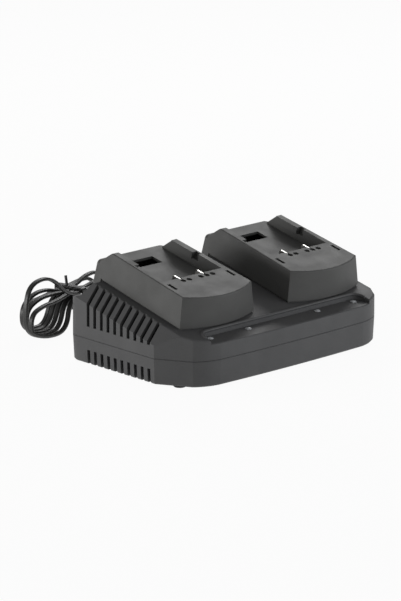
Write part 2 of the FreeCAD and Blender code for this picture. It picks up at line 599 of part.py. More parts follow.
def dock(middle):
    half = DOCK_HALF
    depth = size("recess_depth")
    wall = size("dock_wall")
    rims_end = size("ear_start")
    floor_half = half - size("rim_width")
    above = half_space(Vector(middle, size("dock_corner_y"), RIM_LEVEL), RIM_NORMAL)
    casing = casing_form(0.0)
    outer = dock_body(middle, 0.0).cut(above).cut(casing)
    skirt = dock_body(middle, 0.0).cut(dock_body(middle, size("dock_gap"))).common(casing_form(size("dock_gap")))
    outer = outer.cut(skirt)
    recess = dock_box(middle, -floor_half, size("plateau_length"), -depth, 2 * floor_half, FAR / 2, FAR / 4)
    fall = rim_fall(middle, rims_end, size("ear_end"), depth)
    # behind the rims the floor's own edge is rounded
    behind = dock_box(middle, -half - 20, size("ear_end"), -FAR / 4, 2 * half + 40, FAR / 4, FAR / 2)
    floor_plane = half_space(dock_frame(middle).multVec(Vector(0, 0, -depth)), RIM_NORMAL)
    low = outer.cut(floor_plane)
    to_dock = dock_frame(middle).inverse()

    def on_floor_rear(point):
        place = to_dock.multVec(point)
        return abs(place.z + depth) < NEAR and place.y > size("ear_end")

    low = low.makeFillet(size("floor_round"), edges_where(low, on_floor_rear)).common(behind)
    outer = outer.makeFillet(size("dock_round"), edges_where(outer, lambda point: abs(to_dock.multVec(point).z) < NEAR))
    outer = outer.cut([recess, fall, behind]).fuse(low)
    rails = []
    for side in (-1, 1):
        x = floor_half - size("rail_width") if side > 0 else -floor_half - 0.5
        rail = dock_box(middle, x, rims_end - size("rail_length"), -size("rail_depth"), size("rail_width") + 0.5,
                        size("rail_length"), size("rail_depth"))
        rails.append(rail.cut(fall))
    outer = outer.fuse(rails)
    # the space inside: under the plateau and under the floor
    inner_low = dock_body(middle, wall)
    under_plateau = half_space(Vector(middle, size("dock_corner_y"), RIM_LEVEL) - RIM_NORMAL * wall, RIM_NORMAL)
    room = inner_low.cut(under_plateau)
    floor_slab = dock_box(middle, -half - 20, size("plateau_length") - wall, -depth - wall, 2 * half + 40, FAR / 2, FAR / 4)
    room = room.cut(floor_slab)
    shell = outer.cut(room)
    # screw pillars that stand on the deck
    pillars = []
    for sx, y in DOCK_SCREWS:
        pillar = column(size("pillar_radius") - 0.5, middle + sx, y, DOCK_LOW, DOCK_HIGH)
        pillars.append(pillar.common(dock_body(middle, 1.0).cut(above).cut(casing)))
    pillars = [pillar.cut([recess, fall]) for pillar in pillars]
    shell = shell.fuse(pillars)
    holes = []
    for sx, y in DOCK_SCREWS:
        holes.append(column(size("screw_radius") - 0.1, middle + sx, y, DOCK_LOW, deck_at(y) + 9))
    # plateau: two rows of contact holes, dash slots, blade slits in its rear wall
    t_holes = size("plateau_length") - size("hole_setback")
    for count in (0, 1, 3, 4, 5):
        x = size("hole_left") + count * size("hole_pitch")
        hole = Part.makeCylinder(size("hole_radius"), 3, Vector(x, t_holes, -1.6))
        holes.append(in_dock(middle, hole))
    for side in (-1, 1):
        x = side * (half - size("dash_inset")) - size("dash_width") / 2
        holes.append(dock_box(middle, x, size("dash_start"), -wall - 1, size("dash_width"), size("dash_length"), 10))
    for x in (size("blade_left"), size("blade_right")):
        holes.append(dock_box(middle, x - size("blade_thick") / 2 - 0.3, size("plateau_length") - wall - 0.4,
                              -size("blade_height") - 0.9, size("blade_thick") + 0.6, wall + 2, 20))
    # latch window and the latch notches beside the rails
    holes.append(dock_box(middle, -size("window_width") / 2, size("window_start"), -depth - wall - 1,
                          size("window_width"), size("window_length"), 10))
    holes.append(dock_box(middle, -size("window_width") / 2 - 1.8, size("window_start"), -depth - wall - 1,
                          3, size("window_length") / 2, 10))
    notch_t = rims_end - size("rail_length") - size("notch_length")
    for side in (-1, 1):
        x = floor_half - 1 if side > 0 else -floor_half - size("notch_depth")
        holes.append(dock_box(middle, x, notch_t, -size("rail_depth"), size("notch_depth") + 1,
                              size("notch_length"), 20))
    return shell.cut(holes).removeSplitter()


keep(shaped("BottomShell", bottom_shell()), "bottom_shell")
keep(shaped("TopShell", top_shell()), "top_shell")
for side, middle in DOCK_MIDDLES.items():
    keep(shaped("Dock" + side.title(), dock(middle)), "dock_" + side)


# Terminal block under each plateau and the two bright contact blades that it holds
def terminal_block(middle):
    wall = size("dock_wall")
    t_back = size("plateau_length") - wall
    body = dock_box(middle, -22, t_back - 14, -size("recess_depth") - 1, 42, 13.7, size("recess_depth") + 1 - wall)
    for x in (size("blade_left"), size("blade_right")):
        body = body.cut(dock_box(middle, x - size("blade_thick") / 2, t_back - size("blade_root"), -size("blade_height") - 0.6,
                                 size("blade_thick"), 30, size("blade_height")))
    return body


def contact_blades(middle):
    t_back = size("plateau_length") - size("dock_wall")
    blades = []
    low, top, under = -size("blade_height") - 0.5, -0.6, -size("dock_wall") - 0.1
    reach = size("dock_wall") + size("blade_reach")
    nose = 1.5
    for x in (size("blade_left"), size("blade_right")):
        profile = [(-size("blade_root"), low), (reach - nose, low), (reach, low + nose), (reach, top - nose),
                   (reach - nose, top), (0, top), (0, under), (-size("blade_root"), under)]
        corners = [Vector(x - size("blade_thick") / 2, t_back + t, z) for t, z in profile]
        blades.append(in_dock(middle, prism(corners, Vector(size("blade_thick"), 0, 0))))
    return Part.makeCompound(blades)


def dock_screws(middle):
    screws = []
    for sx, y in DOCK_SCREWS:
        seat = deck_at(y) - WALL / math.cos(SLOPE) - RISE * size("screw_head") - 0.02
        head = Part.makeCylinder(size("screw_head"), 2, Vector(middle + sx, y, seat - 2))
        shank = Part.makeCylinder(size("screw_radius") - 0.12, 9.5, Vector(middle + sx, y, seat - 0.2))
        screws.append(head.fuse(shank))
    return Part.makeCompound(screws)


for side, middle in DOCK_MIDDLES.items():
    keep(shaped("Terminal" + side.title(), terminal_block(middle)), "terminal_block_" + side)
    keep(shaped("Blades" + side.title(), contact_blades(middle)), "contact_blades_" + side)
    keep(shaped("DockScrews" + side.title(), dock_screws(middle)), "dock_screws_" + side)


# Rubber feet: a pad with a peg that presses into the bottom shell
def foot(name, x, y):
    body = doc.addObject("PartDesign::Body", name)
    sketch = body.newObject("Sketcher::SketchObject", name + "Profile")
    plane = [f for f in body.Origin.OriginFeatures if f.Role == "XZ_Plane"][0]
    sketch.AttachmentSupport = (plane, "")
    sketch.MapMode = "FlatFace"
    r, rise = size("foot_radius"), size("foot_height")
    corners = [(0, 0), (r - 1, 0), (r, 1), (r, rise), (r - 2.5, rise), (r - 2.5, rise + 1), (0, rise + 1)]
    for start, end in zip(corners, corners[1:] + corners[:1]):
        sketch.addGeometry(Part.LineSegment(Vector(*start, 0), Vector(*end, 0)), False)
    turned = body.newObject("PartDesign::Revolution", name + "Turned")
    turned.Profile = sketch
    turned.ReferenceAxis = (sketch, ["V_Axis"])
    turned.Angle = 360
    body.Tip = turned
    body.Placement = FreeCAD.Placement(Vector(x, y, 0), FreeCAD.Rotation())
    return body


for (x, y), label in zip(FEET, ("foot_front_left", "foot_rear_left", "foot_front_right", "foot_rear_right")):
    keep(foot(label.title().replace("_", ""), x, y), label)


# Lamp lenses and the board that carries the lamps behind them
def lamp_lens(x, y):
    surface = PANEL_HEIGHT - math.tan(math.radians(size("panel_incline"))) * size("lamp_setback")
    r, rim, crown = size("lamp_radius"), surface + size("lamp_rise"), size("lamp_crown")
    foot_level = surface - WALL - 1.6
    stem = Part.makeCylinder(r, rim - foot_level, Vector(x, y, foot_level))
    flange = Part.makeCylinder(r + 1.2, 1.0, Vector(x, y, foot_level))
    ball = (r ** 2 + crown ** 2) / (2 * crown)
    dome = Part.makeSphere(ball, Vector(x, y, rim + crown - ball))
    dome = dome.common(Part.makeCylinder(r, crown + 1, Vector(x, y, rim)))
    return stem.fuse([flange, dome]).removeSplitter()


LAMP_NAMES = ("lamp_1", "lamp_2", "lamp_3", "lamp_4")
for (x, y), label in zip(LAMPS, LAMP_NAMES):
    keep(shaped("Lens" + label[-1], lamp_lens(x, y)), label)

LAMP_LEVEL = PANEL_HEIGHT - math.tan(math.radians(size("panel_incline"))) * size("lamp_setback") - WALL - 1.6
lamp_board = block("LampBoard", ("case_width - 2 * panel_side - 8", "14", "board_thick"),
                   ("panel_side + 4 - case_width / 2", "panel_depth - case_depth / 2 - lamp_setback - 6",
                    f"{LAMP_LEVEL:.3f} - 0.02 - board_thick"))
keep(lamp_board, "lamp_board")


# Main board with its mains, switching and output parts
board = block("BoardBlank", ("board_width", "board_depth", "board_thick"),
              ("board_x - board_width / 2", "board_y - board_depth / 2", "foot_height + wall + standoff"))
board_holes = []
for count, (x, y) in enumerate(BOARD_SCREWS):
    sx = 1 if x > size("board_x") else -1
    sy = 1 if y > size("board_y") else -1
    board_holes.append(rod(f"BoardHole{count}", "screw_radius + 0.2", "board_thick + 2",
                           (f"board_x + {sx} * (board_width / 2 - pillar_inset)",
                            f"board_y + {sy} * (board_depth / 2 - pillar_inset)", "foot_height + wall + standoff - 1")))
keep(cut("MainBoard", board, fuse("BoardHoles", board_holes)), "main_board")

board_screws = []
for count, (x, y) in enumerate(BOARD_SCREWS):
    sx = 1 if x > size("board_x") else -1
    sy = 1 if y > size("board_y") else -1
    place = (f"board_x + {sx} * (board_width / 2 - pillar_inset)", f"board_y + {sy} * (board_depth / 2 - pillar_inset)")
    shank = rod(f"BoardShank{count}", "screw_radius", "board_thick + 4.5",
                (place[0], place[1], "foot_height + wall + standoff - 4.5"))
    head = rod(f"BoardHead{count}", "screw_head", "2", (place[0], place[1], "foot_height + wall + standoff + board_thick"))
    board_screws.append(fuse(f"BoardScrew{count}", [shank, head]))
keep(group("BoardScrews", board_screws), "board_screws")

ON_BOARD = "foot_height + wall + standoff + board_thick"


def on_board(name, extents, dx, dy):
    """A box part that stands on the main board, its corner given from the board's low corner."""
    return block(name, extents, (f"board_x - board_width / 2 + {dx}", f"board_y - board_depth / 2 + {dy}", ON_BOARD))


def round_on_board(name, radius, height, dx, dy):
    return rod(name, radius, height, (f"board_x - board_width / 2 + {dx}", f"board_y - board_depth / 2 + {dy}", ON_BOARD))


# transformer: a ferrite core round a taped winding
core = on_board("Core", ("34", "30", "26"), "62", "24")
core_room = on_board("CoreRoom", ("22", "40", "16"), "68", "19")
bind(core_room, Placement__Base__z=ON_BOARD + " + 5")
post = on_board("CorePost", ("10", "30", "16.4"), "74", "24")
bind(post, Placement__Base__z=ON_BOARD + " + 4.8")
keep(fuse("TransformerCore", [cut("CoreFrame", core, core_room), post]), "transformer_core")
winding = on_board("Winding", ("21.6", "36", "15.6"), "68.2", "21")
bind(winding, Placement__Base__z=ON_BOARD + " + 5.2")
winding_room = on_board("WindingRoom", ("10.4", "30.4", "20"), "73.8", "23.8")
bind(winding_room, Placement__Base__z=ON_BOARD + " + 4.6")
keep(cut("TransformerWinding", winding, winding_room), "transformer_winding")

mains_capacitor = round_on_board("MainsCapacitor", "9", "32", "40", "58")
keep(mains_capacitor, "mains_capacitor")
outputs = [round_on_board(f"OutputCapacitor{n}", "5", "20", f"{112 + 14 * n}", "62") for n in range(2)]
keep(group("OutputCapacitors", outputs), "output_capacitors")


def heat_sink(name, dx, dy):
    """A folded fin block with five slots cut from above."""
    base = on_board(name + "Blank", ("36", "13", "24"), dx, dy)
    slots = []
    for n in range(5):
        slot = on_board(f"{name}Slot{n}", ("3.4", "9.5", "30"), f"{dx} + {3.3 + 6.6 * n:.1f}", f"{dy} + 3.5")
        slots.append(slot)
    return cut(name, base, fuse(name + "Slots", slots))


keep(heat_sink("SwitchSink", "14", "14"), "switch_heat_sink")
keep(heat_sink("RectifierSink", "104", "14"), "rectifier_heat_sink")
switches = [on_board(f"Transistor{n}", ("10", "4.4", "15"), dx, "9.5") for n, dx in enumerate(("27", "117"))]
keep(group("PowerTransistors", switches), "power_transistors")

choke_ring = doc.addObject("Part::Torus", "Choke")
bind(choke_ring, Radius1="7", Radius2="3.6")
bind(choke_ring, Placement__Base__x="board_x - board_width / 2 + 17", Placement__Base__y="board_y - board_depth / 2 + 50",
     Placement__Base__z=ON_BOARD + " + 3.6")
keep(choke_ring, "filter_choke")
keep(rod("Fuse", "2.6", "20", ("board_x - board_width / 2 + 8", "board_y - board_depth / 2 + 70", ON_BOARD + " + 2.6"),
         ALONG_X), "fuse")
keep(on_board("MainsTerminal", ("14", "9", "10"), "gland_x - board_x + board_width / 2 - 7", "72"), "mains_terminal")
keep(on_board("ControlChip", ("14", "10", "2.2"), "88", "6"), "control_chip")


# Cooling fan: a square frame with a round duct and three spokes, and a rotor with seven blades
def fan_frame():
    edge, thick = size("fan_size"), size("fan_thick")
    x, y, z = FAN_X, size("fan_y"), FAN_Z
    frame = Part.makeBox(thick, edge, edge, Vector(x, y - edge / 2, z - edge / 2))
    frame = frame.cut(Part.makeCylinder(size("fan_bore"), thick + 2, Vector(x - 1, y, z), Vector(1, 0, 0)))
    motor = Part.makeCylinder(size("hub_radius"), 3, Vector(x, y, z), Vector(1, 0, 0))
    stub = Part.makeCylinder(1.5, thick - 2, Vector(x + 1, y, z), Vector(1, 0, 0))
    spokes = []
    for count in range(3):
        spoke = Part.makeBox(2, 3, size("fan_bore") + 0.6, Vector(x, y - 1.5, z))
        spoke.rotate(Vector(x, y, z), Vector(1, 0, 0), 60 + 120 * count)
        spokes.append(spoke)
    frame = frame.fuse([motor, stub] + spokes)
    holes = []
    for sy in (-1, 1):
        for sz in (-1, 1):
            holes.append(Part.makeCylinder(1.7, thick + 2, Vector(x - 1, y + sy * (edge / 2 - 4), z + sz * (edge / 2 - 4)),
                                           Vector(1, 0, 0)))
    return frame.cut(holes).removeSplitter()


def fan_rotor():
    thick = size("fan_thick")
    x, y, z = FAN_X, size("fan_y"), FAN_Z
    start = x + 3.5
    hub = Part.makeCylinder(size("hub_radius"), thick - 4.5, Vector(start, y, z), Vector(1, 0, 0))
    tip = size("fan_bore") - size("fan_tip_gap")
    blades = []
    for count in range(int(size("fan_blades"))):
        blade = Part.makeBox(1.2, 11, tip + 2, Vector(start + 4.2, y - 5.5, z))
        blade.rotate(Vector(start + 4.8, y, z), Vector(0, 0, 1), 38)
        blade.rotate(Vector(x, y, z), Vector(1, 0, 0), 360.0 / size("fan_blades") * count)
        blades.append(blade)
    reach = Part.makeCylinder(tip, thick - 4.5, Vector(start, y, z), Vector(1, 0, 0))
    rotor = hub.fuse([blade.common(reach) for blade in blades])
    bore = Part.makeCylinder(1.55, thick + 4, Vector(x - 2, y, z), Vector(1, 0, 0))
    return rotor.cut(bore).removeSplitter()


FAN_Z = FLOOR_TOP + size("plinth_height") + size("fan_size") / 2
keep(shaped("FanFrame", fan_frame()), "fan_frame")
keep(shaped("FanRotor", fan_rotor()), "fan_rotor")


# Casing screws, driven up from below
case_screws = []
for count, (x, y) in enumerate(CASE_SCREWS):
    side = 1 if x > 0 else -1
    depth = "case_screw_front - case_depth / 2" if y < 0 else "case_depth / 2 - case_screw_back"
    place = (f"{side} * (case_width / 2 - case_screw_side)", depth)
    head = rod(f"CaseHead{count}", "case_screw_head", "2.6", (place[0], place[1], "foot_height + 6 - 2.6"))
    shank = rod(f"CaseShank{count}", "case_screw_radius - 0.2", "parting_height + 8 - foot_height - 6",
                (place[0], place[1], "foot_height + 6"))
    case_screws.append(fuse(f"CaseScrew{count}", [head, shank]))
keep(group("CaseScrews", case_screws), "case_screws")


# Cord clamp on its seat inside the rear wall, with two screws
clamp_block = block("ClampBlank", ("26", "8", "6"), ("gland_x - 13", f"{CLAMP_Y - 4:.2f}", "gland_z - 1"))
clamp_room = rod("ClampRoom", "cord_width / 2", "20", ("gland_x", f"{CLAMP_Y - 10:.2f}", "gland_z"), ALONG_Y)
clamp_bores = [rod(f"ClampBore{n}", "screw_radius + 0.1", "20", (f"gland_x + {side} * {CLAMP_SCREW}", f"{CLAMP_Y:.2f}",
                                                                  "gland_z - 8")) for n, side in enumerate((-1, 1))]
keep(cut("CordClamp", clamp_block, fuse("ClampHoles", [clamp_room] + clamp_bores)), "cord_clamp")
clamp_screws = []
for n, side in enumerate((-1, 1)):
    place = (f"gland_x + {side} * {CLAMP_SCREW}", f"{CLAMP_Y:.2f}")
    head = rod(f"ClampHead{n}", "screw_head", "2", (place[0], place[1], "gland_z + 5"))
    shank = rod(f"ClampShank{n}", "screw_radius", "12", (place[0], place[1], "gland_z - 7"))
    clamp_screws.append(fuse(f"ClampScrew{n}", [head, shank]))
keep(group("ClampScrews", clamp_screws), "clamp_screws")


def strain_relief():
    """A tapered sleeve with a grooved neck that the rear wall grips."""
    x, z = size("gland_x"), size("gland_z")
    back = Vector(0, 1, 0)
    inside = Part.makeCylinder(GLAND_NECK + 1.6, 3, Vector(x, HALF_DEPTH - WALL - 0.9 - 3, z), back)
    neck = Part.makeCylinder(GLAND_NECK, WALL + 2.5, Vector(x, HALF_DEPTH - WALL - 1.2, z), back)
    collar = Part.makeCylinder(GLAND_NECK + 1.6, 2.5, Vector(x, HALF_DEPTH + 0.05, z), back)
    cone = Part.makeCone(GLAND_NECK + 0.6, size("cord_width") / 2 + 0.5, size("gland_length") - 2,
                         Vector(x, HALF_DEPTH + 2, z), back)
    sleeve = inside.fuse([neck, collar, cone])
    bore = Part.makeCylinder(size("cord_width") / 2, 80, Vector(x, HALF_DEPTH - 40, z), back)
    return sleeve.cut(bore).removeSplitter()


keep(shaped("StrainRelief", strain_relief()), "strain_relief")


def route_tube(points, diameter, label):
    """A round tube along straight runs joined by tangent arcs; prints its length and radii."""
    points = [Vector(*p) for p in points]
    edges, radii, length = [], [], 0.0
    at = points[0]
    for before, corner, after in zip(points, points[1:], points[2:]):
        arriving = (corner - before).normalize()
        leaving = (after - corner).normalize()
        turn = arriving.getAngle(leaving)
        trim = 0.45 * min((corner - before).Length, (after - corner).Length)
        radius = trim / math.tan(turn / 2)
        radii.append(radius)
        start, end = corner - arriving * trim, corner + leaving * trim
        middle_of_arc = corner + (leaving - arriving).normalize() * (radius / math.cos(turn / 2) - radius)
        edges.append(line(at, start))
        edges.append(arc(start, middle_of_arc, end))
        at = end
    edges.append(line(at, points[-1]))
    wire = Part.Wire(edges)
    ring = Part.Wire(Part.makeCircle(diameter / 2, points[0], points[1] - points[0]))
    tube = wire.makePipeShell([ring], True, False)
    length = wire.Length
    expected = length * math.pi * diameter ** 2 / 4
    print(f"{label}: length {length:.1f}, radii {[round(r, 1) for r in radii]}, "
          f"volume over section times length {tube.Volume / expected:.4f}")
    return tube


mains_end = HALF_DEPTH + size("gland_length")
BOARD_LOW = (size("board_x") - size("board_width") / 2, size("board_y") - size("board_depth") / 2)
TERMINAL_BACK = BOARD_LOW[1] + 81


def mains_lead():
    """The cord's run through the strain relief and clamp to the board's terminal."""
    x, z = size("gland_x"), size("gland_z")
    straight = Part.makeCylinder(size("cord_width") / 2 - 0.02, mains_end - TERMINAL_BACK - 8,
                                 Vector(x, TERMINAL_BACK + 8, z), Vector(0, 1, 0))
    cores = []
    for side in (-1, 1):
        core_start = Vector(x + side * 1.15, TERMINAL_BACK + 8.2, z)
        core = Part.makeCylinder(1.1, 8.2, Vector(core_start.x, TERMINAL_BACK, core_start.z), Vector(0, 1, 0))
        cores.append(core)
    return straight.fuse(cores).removeSplitter()


keep(shaped("MainsLead", mains_lead()), "mains_lead")


# A connector on the board for each dock, and the pair of leads from it to the dock's terminal block
CONNECTORS = {"left": 23.0, "right": 143.0}
connectors = [on_board("Connector" + side.title(), ("12", "7", "8"), f"{dx - 6}", "28.5") for side, dx in CONNECTORS.items()]
keep(group("OutputConnectors", connectors), "output_connectors")


def dock_leads(side, middle):
    start_x, start_y = BOARD_LOW[0] + CONNECTORS[side], BOARD_LOW[1] + 32
    along = size("plateau_length") - size("dock_wall") - 7
    under = -size("recess_depth") - 1
    foot_of_block = dock_frame(middle).multVec(Vector(2, along, under))
    leads = []
    for offset in (-2.0, 2.0):
        shift = Vector(offset, 0, 0)
        start = Vector(start_x, start_y, BOARD_TOP + 8)
        points = [start + shift, start + Vector(0, 0, 14) + shift, foot_of_block - RIM_NORMAL * 14 + shift,
                  foot_of_block + shift]
        leads.append(route_tube([tuple(p) for p in points], 1.8, side + " dock lead"))
    return Part.makeCompound(leads)


for side, middle in DOCK_MIDDLES.items():
    keep(shaped("DockLeads" + side.title(), dock_leads(side, middle)), "dock_leads_" + side)


def biarc(start, leaving, end, arriving):
    """Two tangent arcs from one point and direction to another."""
    chord = end - start
    both = leaving + arriving
    spread = 1 - leaving.dot(arriving)
    along = chord.dot(both)
    if spread < 1e-6:
        reach = chord.dot(chord) / (2 * along)
    else:
        reach = (math.sqrt(along ** 2 + 2 * spread * chord.dot(chord)) - along) / (2 * spread)
    middle = (start + leaving * reach + end - arriving * reach) / 2
    return [arc_from(start, leaving, middle), arc_to(middle, end, arriving)]


def arc_from(start, leaving, end):
    """The arc that leaves a point in a direction and ends at another."""
    chord = end - start
    run = Vector(chord).normalize()
    side = leaving - run * leaving.dot(run)
    if side.Length < 1e-4:
        return line(start, end)
    bulge = chord.Length / 2 * math.tan(leaving.getAngle(run) / 2)
    return arc(start, (start + end) / 2 + side.normalize() * bulge, end)


def arc_to(start, end, arriving):
    """The arc that leaves a point and ends at another in a direction."""
    chord = end - start
    run = Vector(chord).normalize()
    side = run * arriving.dot(run) - arriving
    if side.Length < 1e-4:
        return line(start, end)
    bulge = chord.Length / 2 * math.tan(arriving.getAngle(run) / 2)
    return arc(start, (start + end) / 2 + side.normalize() * bulge, end)


# The hank stands on its loops behind the casing: big loops on the left, small ones on the right
HANK_TIE = Vector(-46.0, 169.0, 29.5)
HANK_RUN = Vector(math.cos(math.radians(size("hank_turn"))), math.sin(math.radians(size("hank_turn"))), 0)
HANK_SIDE = Vector(-HANK_RUN.y, HANK_RUN.x, 0)
UP = Vector(0, 0, 1)


def hank_point(run, side, level):
    return Vector(HANK_TIE.x, HANK_TIE.y, 0) + HANK_RUN * run + HANK_SIDE * side + UP * level


def hank_route():
    """Points and directions round the hank: five on each lobe and one at each pass under the tie."""
    step, fan, waist = size("hank_step"), size("hank_fan"), size("hank_waist")
    first = -(size("hank_loops") - 0.5) / 2 * step
    rest = size("cord_width") / 2 + 0.1
    stations = []
    for loop in range(int(size("hank_loops"))):
        swing, other = math.cos(2.4 * loop), math.cos(2.4 * loop + 1)
        reach, tall = size("hank_reach") - size("hank_shrink") * loop + 3 * swing, size("hank_low") + 3 * swing
        crest, base = 0.62, 0.62
        if loop == 0:
            reach, tall, crest, base = size("hank_long"), size("hank_tall"), 0.8, 0.48
        side = first + loop * step
        if loop == 0:
            stations.append((hank_point(40, side * fan, 2 * 16.0 + rest), -HANK_RUN))
        stations += [
            (hank_point(0, side, HANK_TIE.z + waist), -HANK_RUN),
            (hank_point(-crest * reach, side * fan, 2 * tall + rest), -HANK_RUN),
            (hank_point(-reach, side * fan, tall + rest), -UP),
            (hank_point(-base * reach, side * fan, rest), HANK_RUN),
            (hank_point(0, side + step / 2, HANK_TIE.z - waist), HANK_RUN)]
        side += step
        reach, tall = 57 + 4 * other, 15.5 + 2.5 * other
        stations.append((hank_point(0.68 * reach, side * fan, rest), HANK_RUN))
        if loop < size("hank_loops") - 1:
            stations += [(hank_point(reach, side * fan, tall + rest), UP),
                         (hank_point(0.68 * reach, side * fan, 2 * tall + rest), -HANK_RUN)]
    return stations


def least_gap(wire, diameter):
    """Least gap between a wound tube and itself, on points a millimetre apart."""
    points = wire.discretize(Distance=1.2)
    near = int(25 / 1.2)
    least = 1e9
    for count, point in enumerate(points):
        for other in points[count + near:]:
            gap = point.distanceToPoint(other)
            if gap < least:
                least = gap
    return least - diameter


def hank_tube():
    stations = hank_route()
    straight = size("cord_width")
    start, leaving = stations[0]
    end, arriving = stations[-1]
    edges = [line(start - leaving * straight, start)]
    for (a, t1), (b, t2) in zip(stations, stations[1:]):
        edges += biarc(a, t1, b, t2)
    edges.append(line(end, end + arriving * straight))
    wire = Part.Wire(edges)
    ring = Part.Wire(Part.makeCircle(size("cord_width") / 2, start - leaving * straight, leaving))
    tube = wire.makePipeShell([ring], True, False)
    bends = [edge.Curve.Radius for edge in edges if hasattr(edge.Curve, "Radius")]
    section = math.pi * size("cord_width") ** 2 / 4
    print(f"hank: length {wire.Length:.1f}, tightest bend {min(bends):.1f}, least gap to itself "
          f"{least_gap(wire, size('cord_width')):.2f}, volume ratio {tube.Volume / section / wire.Length:.4f}")
    return tube, start - leaving * straight, end + arriving * straight


hank, hank_start, hank_end = hank_tube()
keep(shaped("CordHank", hank), "cord_hank")

LEAD_POINTS = [(40.0, 102.0, 14.0), (40.0, 121.0, 14.0), (42.0, 147.0, 21.0),
               tuple(hank_start + HANK_RUN * 20), tuple(hank_start)]
keep(shaped("CordLead", route_tube(LEAD_POINTS, size("cord_width"), "cord lead")), "cord_lead")

PLUG_BACK = Vector(66.0, 205.0, size("plug_thick") / 2)
TAIL_POINTS = [tuple(hank_end), tuple(hank_end + HANK_RUN * 18), (30.0, 208.0, 3.4), (50.0, 205.0, 7.0),
               tuple(PLUG_BACK)]
keep(shaped("CordTail", route_tube(TAIL_POINTS, size("cord_width"), "cord tail")), "cord_tail")


def hank_tie():
    """A flat strap once round the waist of the hank, with its twisted ends on top."""
    room = 0.4
    across = (size("hank_loops") - 0.5) * size("hank_step") + size("cord_width") + 2 * room
    tall = 2 * size("hank_waist") + size("cord_width") + 2 * room
    thick, width = size("tie_thick"), size("tie_width")
    outer = Part.makeBox(width, across + 2 * thick, tall + 2 * thick, Vector(-width / 2, -across / 2 - thick, -tall / 2 - thick))
    outer = outer.makeFillet(2.0, [e for e in outer.Edges if abs(e.tangentAt(e.FirstParameter).x) > 0.9])
    inner = Part.makeBox(width + 2, across, tall, Vector(-width / 2 - 1, -across / 2, -tall / 2))
    twist = Part.makeCylinder(1.3, 9, Vector(0, 4, tall / 2 + thick - 0.4), Vector(0.2, 0.3, 0.93))
    strap = outer.cut(inner).fuse(twist)
    strap.Placement = FreeCAD.Placement(HANK_TIE, FreeCAD.Rotation(Vector(0, 0, 1), size("hank_turn")))
    return strap


keep(shaped("CordTie", hank_tie()), "cord_tie")


def plug_body():
    """A flat two-pin plug lying on its side face, tapered to its cord."""
    x, y, z = PLUG_BACK
    length, width, thick = size("plug_length"), size("plug_width"), size("plug_thick")
    block_shape = Part.makeBox(length, width, thick, Vector(x, y - width / 2, 0))
    for sy in (-1, 1):
        corner = [Vector(x - 1, y + sy * 6.0, -1), Vector(x - 1, y + sy * (width / 2 + 1), -1),
                  Vector(x + length * 0.55, y + sy * (width / 2 + 1), -1), Vector(x + length * 0.5, y + sy * width / 2, -1)]
        block_shape = block_shape.cut(prism(corner, Vector(0, 0, thick + 2)))
    long_edges = [e for e in block_shape.Edges if abs(e.tangentAt(e.FirstParameter).z) < 0.1
                  and abs(e.CenterOfMass.x - x) > 0.2 and abs(e.CenterOfMass.x - x - length) > 0.2]
    return block_shape.makeFillet(2.4, long_edges)


def plug_pins():
    x, y, z = PLUG_BACK
    pins = []
    for sy in (-1, 1):
        base = Vector(x + size("plug_length"), y + sy * size("pin_pitch") / 2, z)
        pin = Part.makeCylinder(size("pin_radius"), size("pin_length") - 1, base, Vector(1, 0, 0))
        tip = Part.makeCone(size("pin_radius"), size("pin_radius") - 0.8, 1, base + Vector(size("pin_length") - 1, 0, 0),
                            Vector(1, 0, 0))
        pins.append(pin.fuse(tip).removeSplitter())
    return Part.makeCompound(pins)


keep(shaped("PlugBody", plug_body()), "plug_body")
keep(shaped("PlugPins", plug_pins()), "plug_pins")

doc.recompute()
for thing in parts:
    print(thing.Label, "solids", len(thing.Shape.Solids), "valid", thing.Shape.isValid(),
          "volume", round(thing.Shape.Volume, 1))

failed = [thing.Name for thing in doc.Objects if "Invalid" in thing.State or "Error" in thing.State]
if failed:
    raise RuntimeError("objects that failed: " + ", ".join(failed))
os.makedirs("parts", exist_ok=True)
for thing in parts:
    if thing.Shape.isNull() or not thing.Shape.isValid():
        raise RuntimeError(thing.Label + " has no valid shape")
    thing.Shape.exportStep("parts/" + thing.Label + ".step")
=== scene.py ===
import math

import bpy
import numpy as np
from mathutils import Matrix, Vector


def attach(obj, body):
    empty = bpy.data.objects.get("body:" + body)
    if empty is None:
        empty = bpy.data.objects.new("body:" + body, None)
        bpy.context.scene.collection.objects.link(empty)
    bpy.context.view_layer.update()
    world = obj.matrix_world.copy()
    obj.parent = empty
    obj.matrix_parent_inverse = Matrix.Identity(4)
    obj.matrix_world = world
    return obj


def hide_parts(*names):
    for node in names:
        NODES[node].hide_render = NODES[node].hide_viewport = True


bl_info = {
    "name": "Twin Battery Charger",
    "version": (1, 0, 0),
    "blender": (4, 5, 0),
    "location": "View3D > Sidebar > Charger",
    "description": "Finishes a twin-bay battery charger: casing, docks, lamps, electronics and tied cord",
    "category": "Add Mesh",
}

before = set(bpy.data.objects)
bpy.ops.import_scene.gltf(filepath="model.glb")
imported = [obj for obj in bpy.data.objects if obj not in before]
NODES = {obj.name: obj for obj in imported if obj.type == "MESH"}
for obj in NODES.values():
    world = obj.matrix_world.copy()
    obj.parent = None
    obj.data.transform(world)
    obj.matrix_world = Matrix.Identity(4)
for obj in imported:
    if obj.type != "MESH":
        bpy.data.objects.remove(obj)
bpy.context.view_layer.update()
MM = 0.001


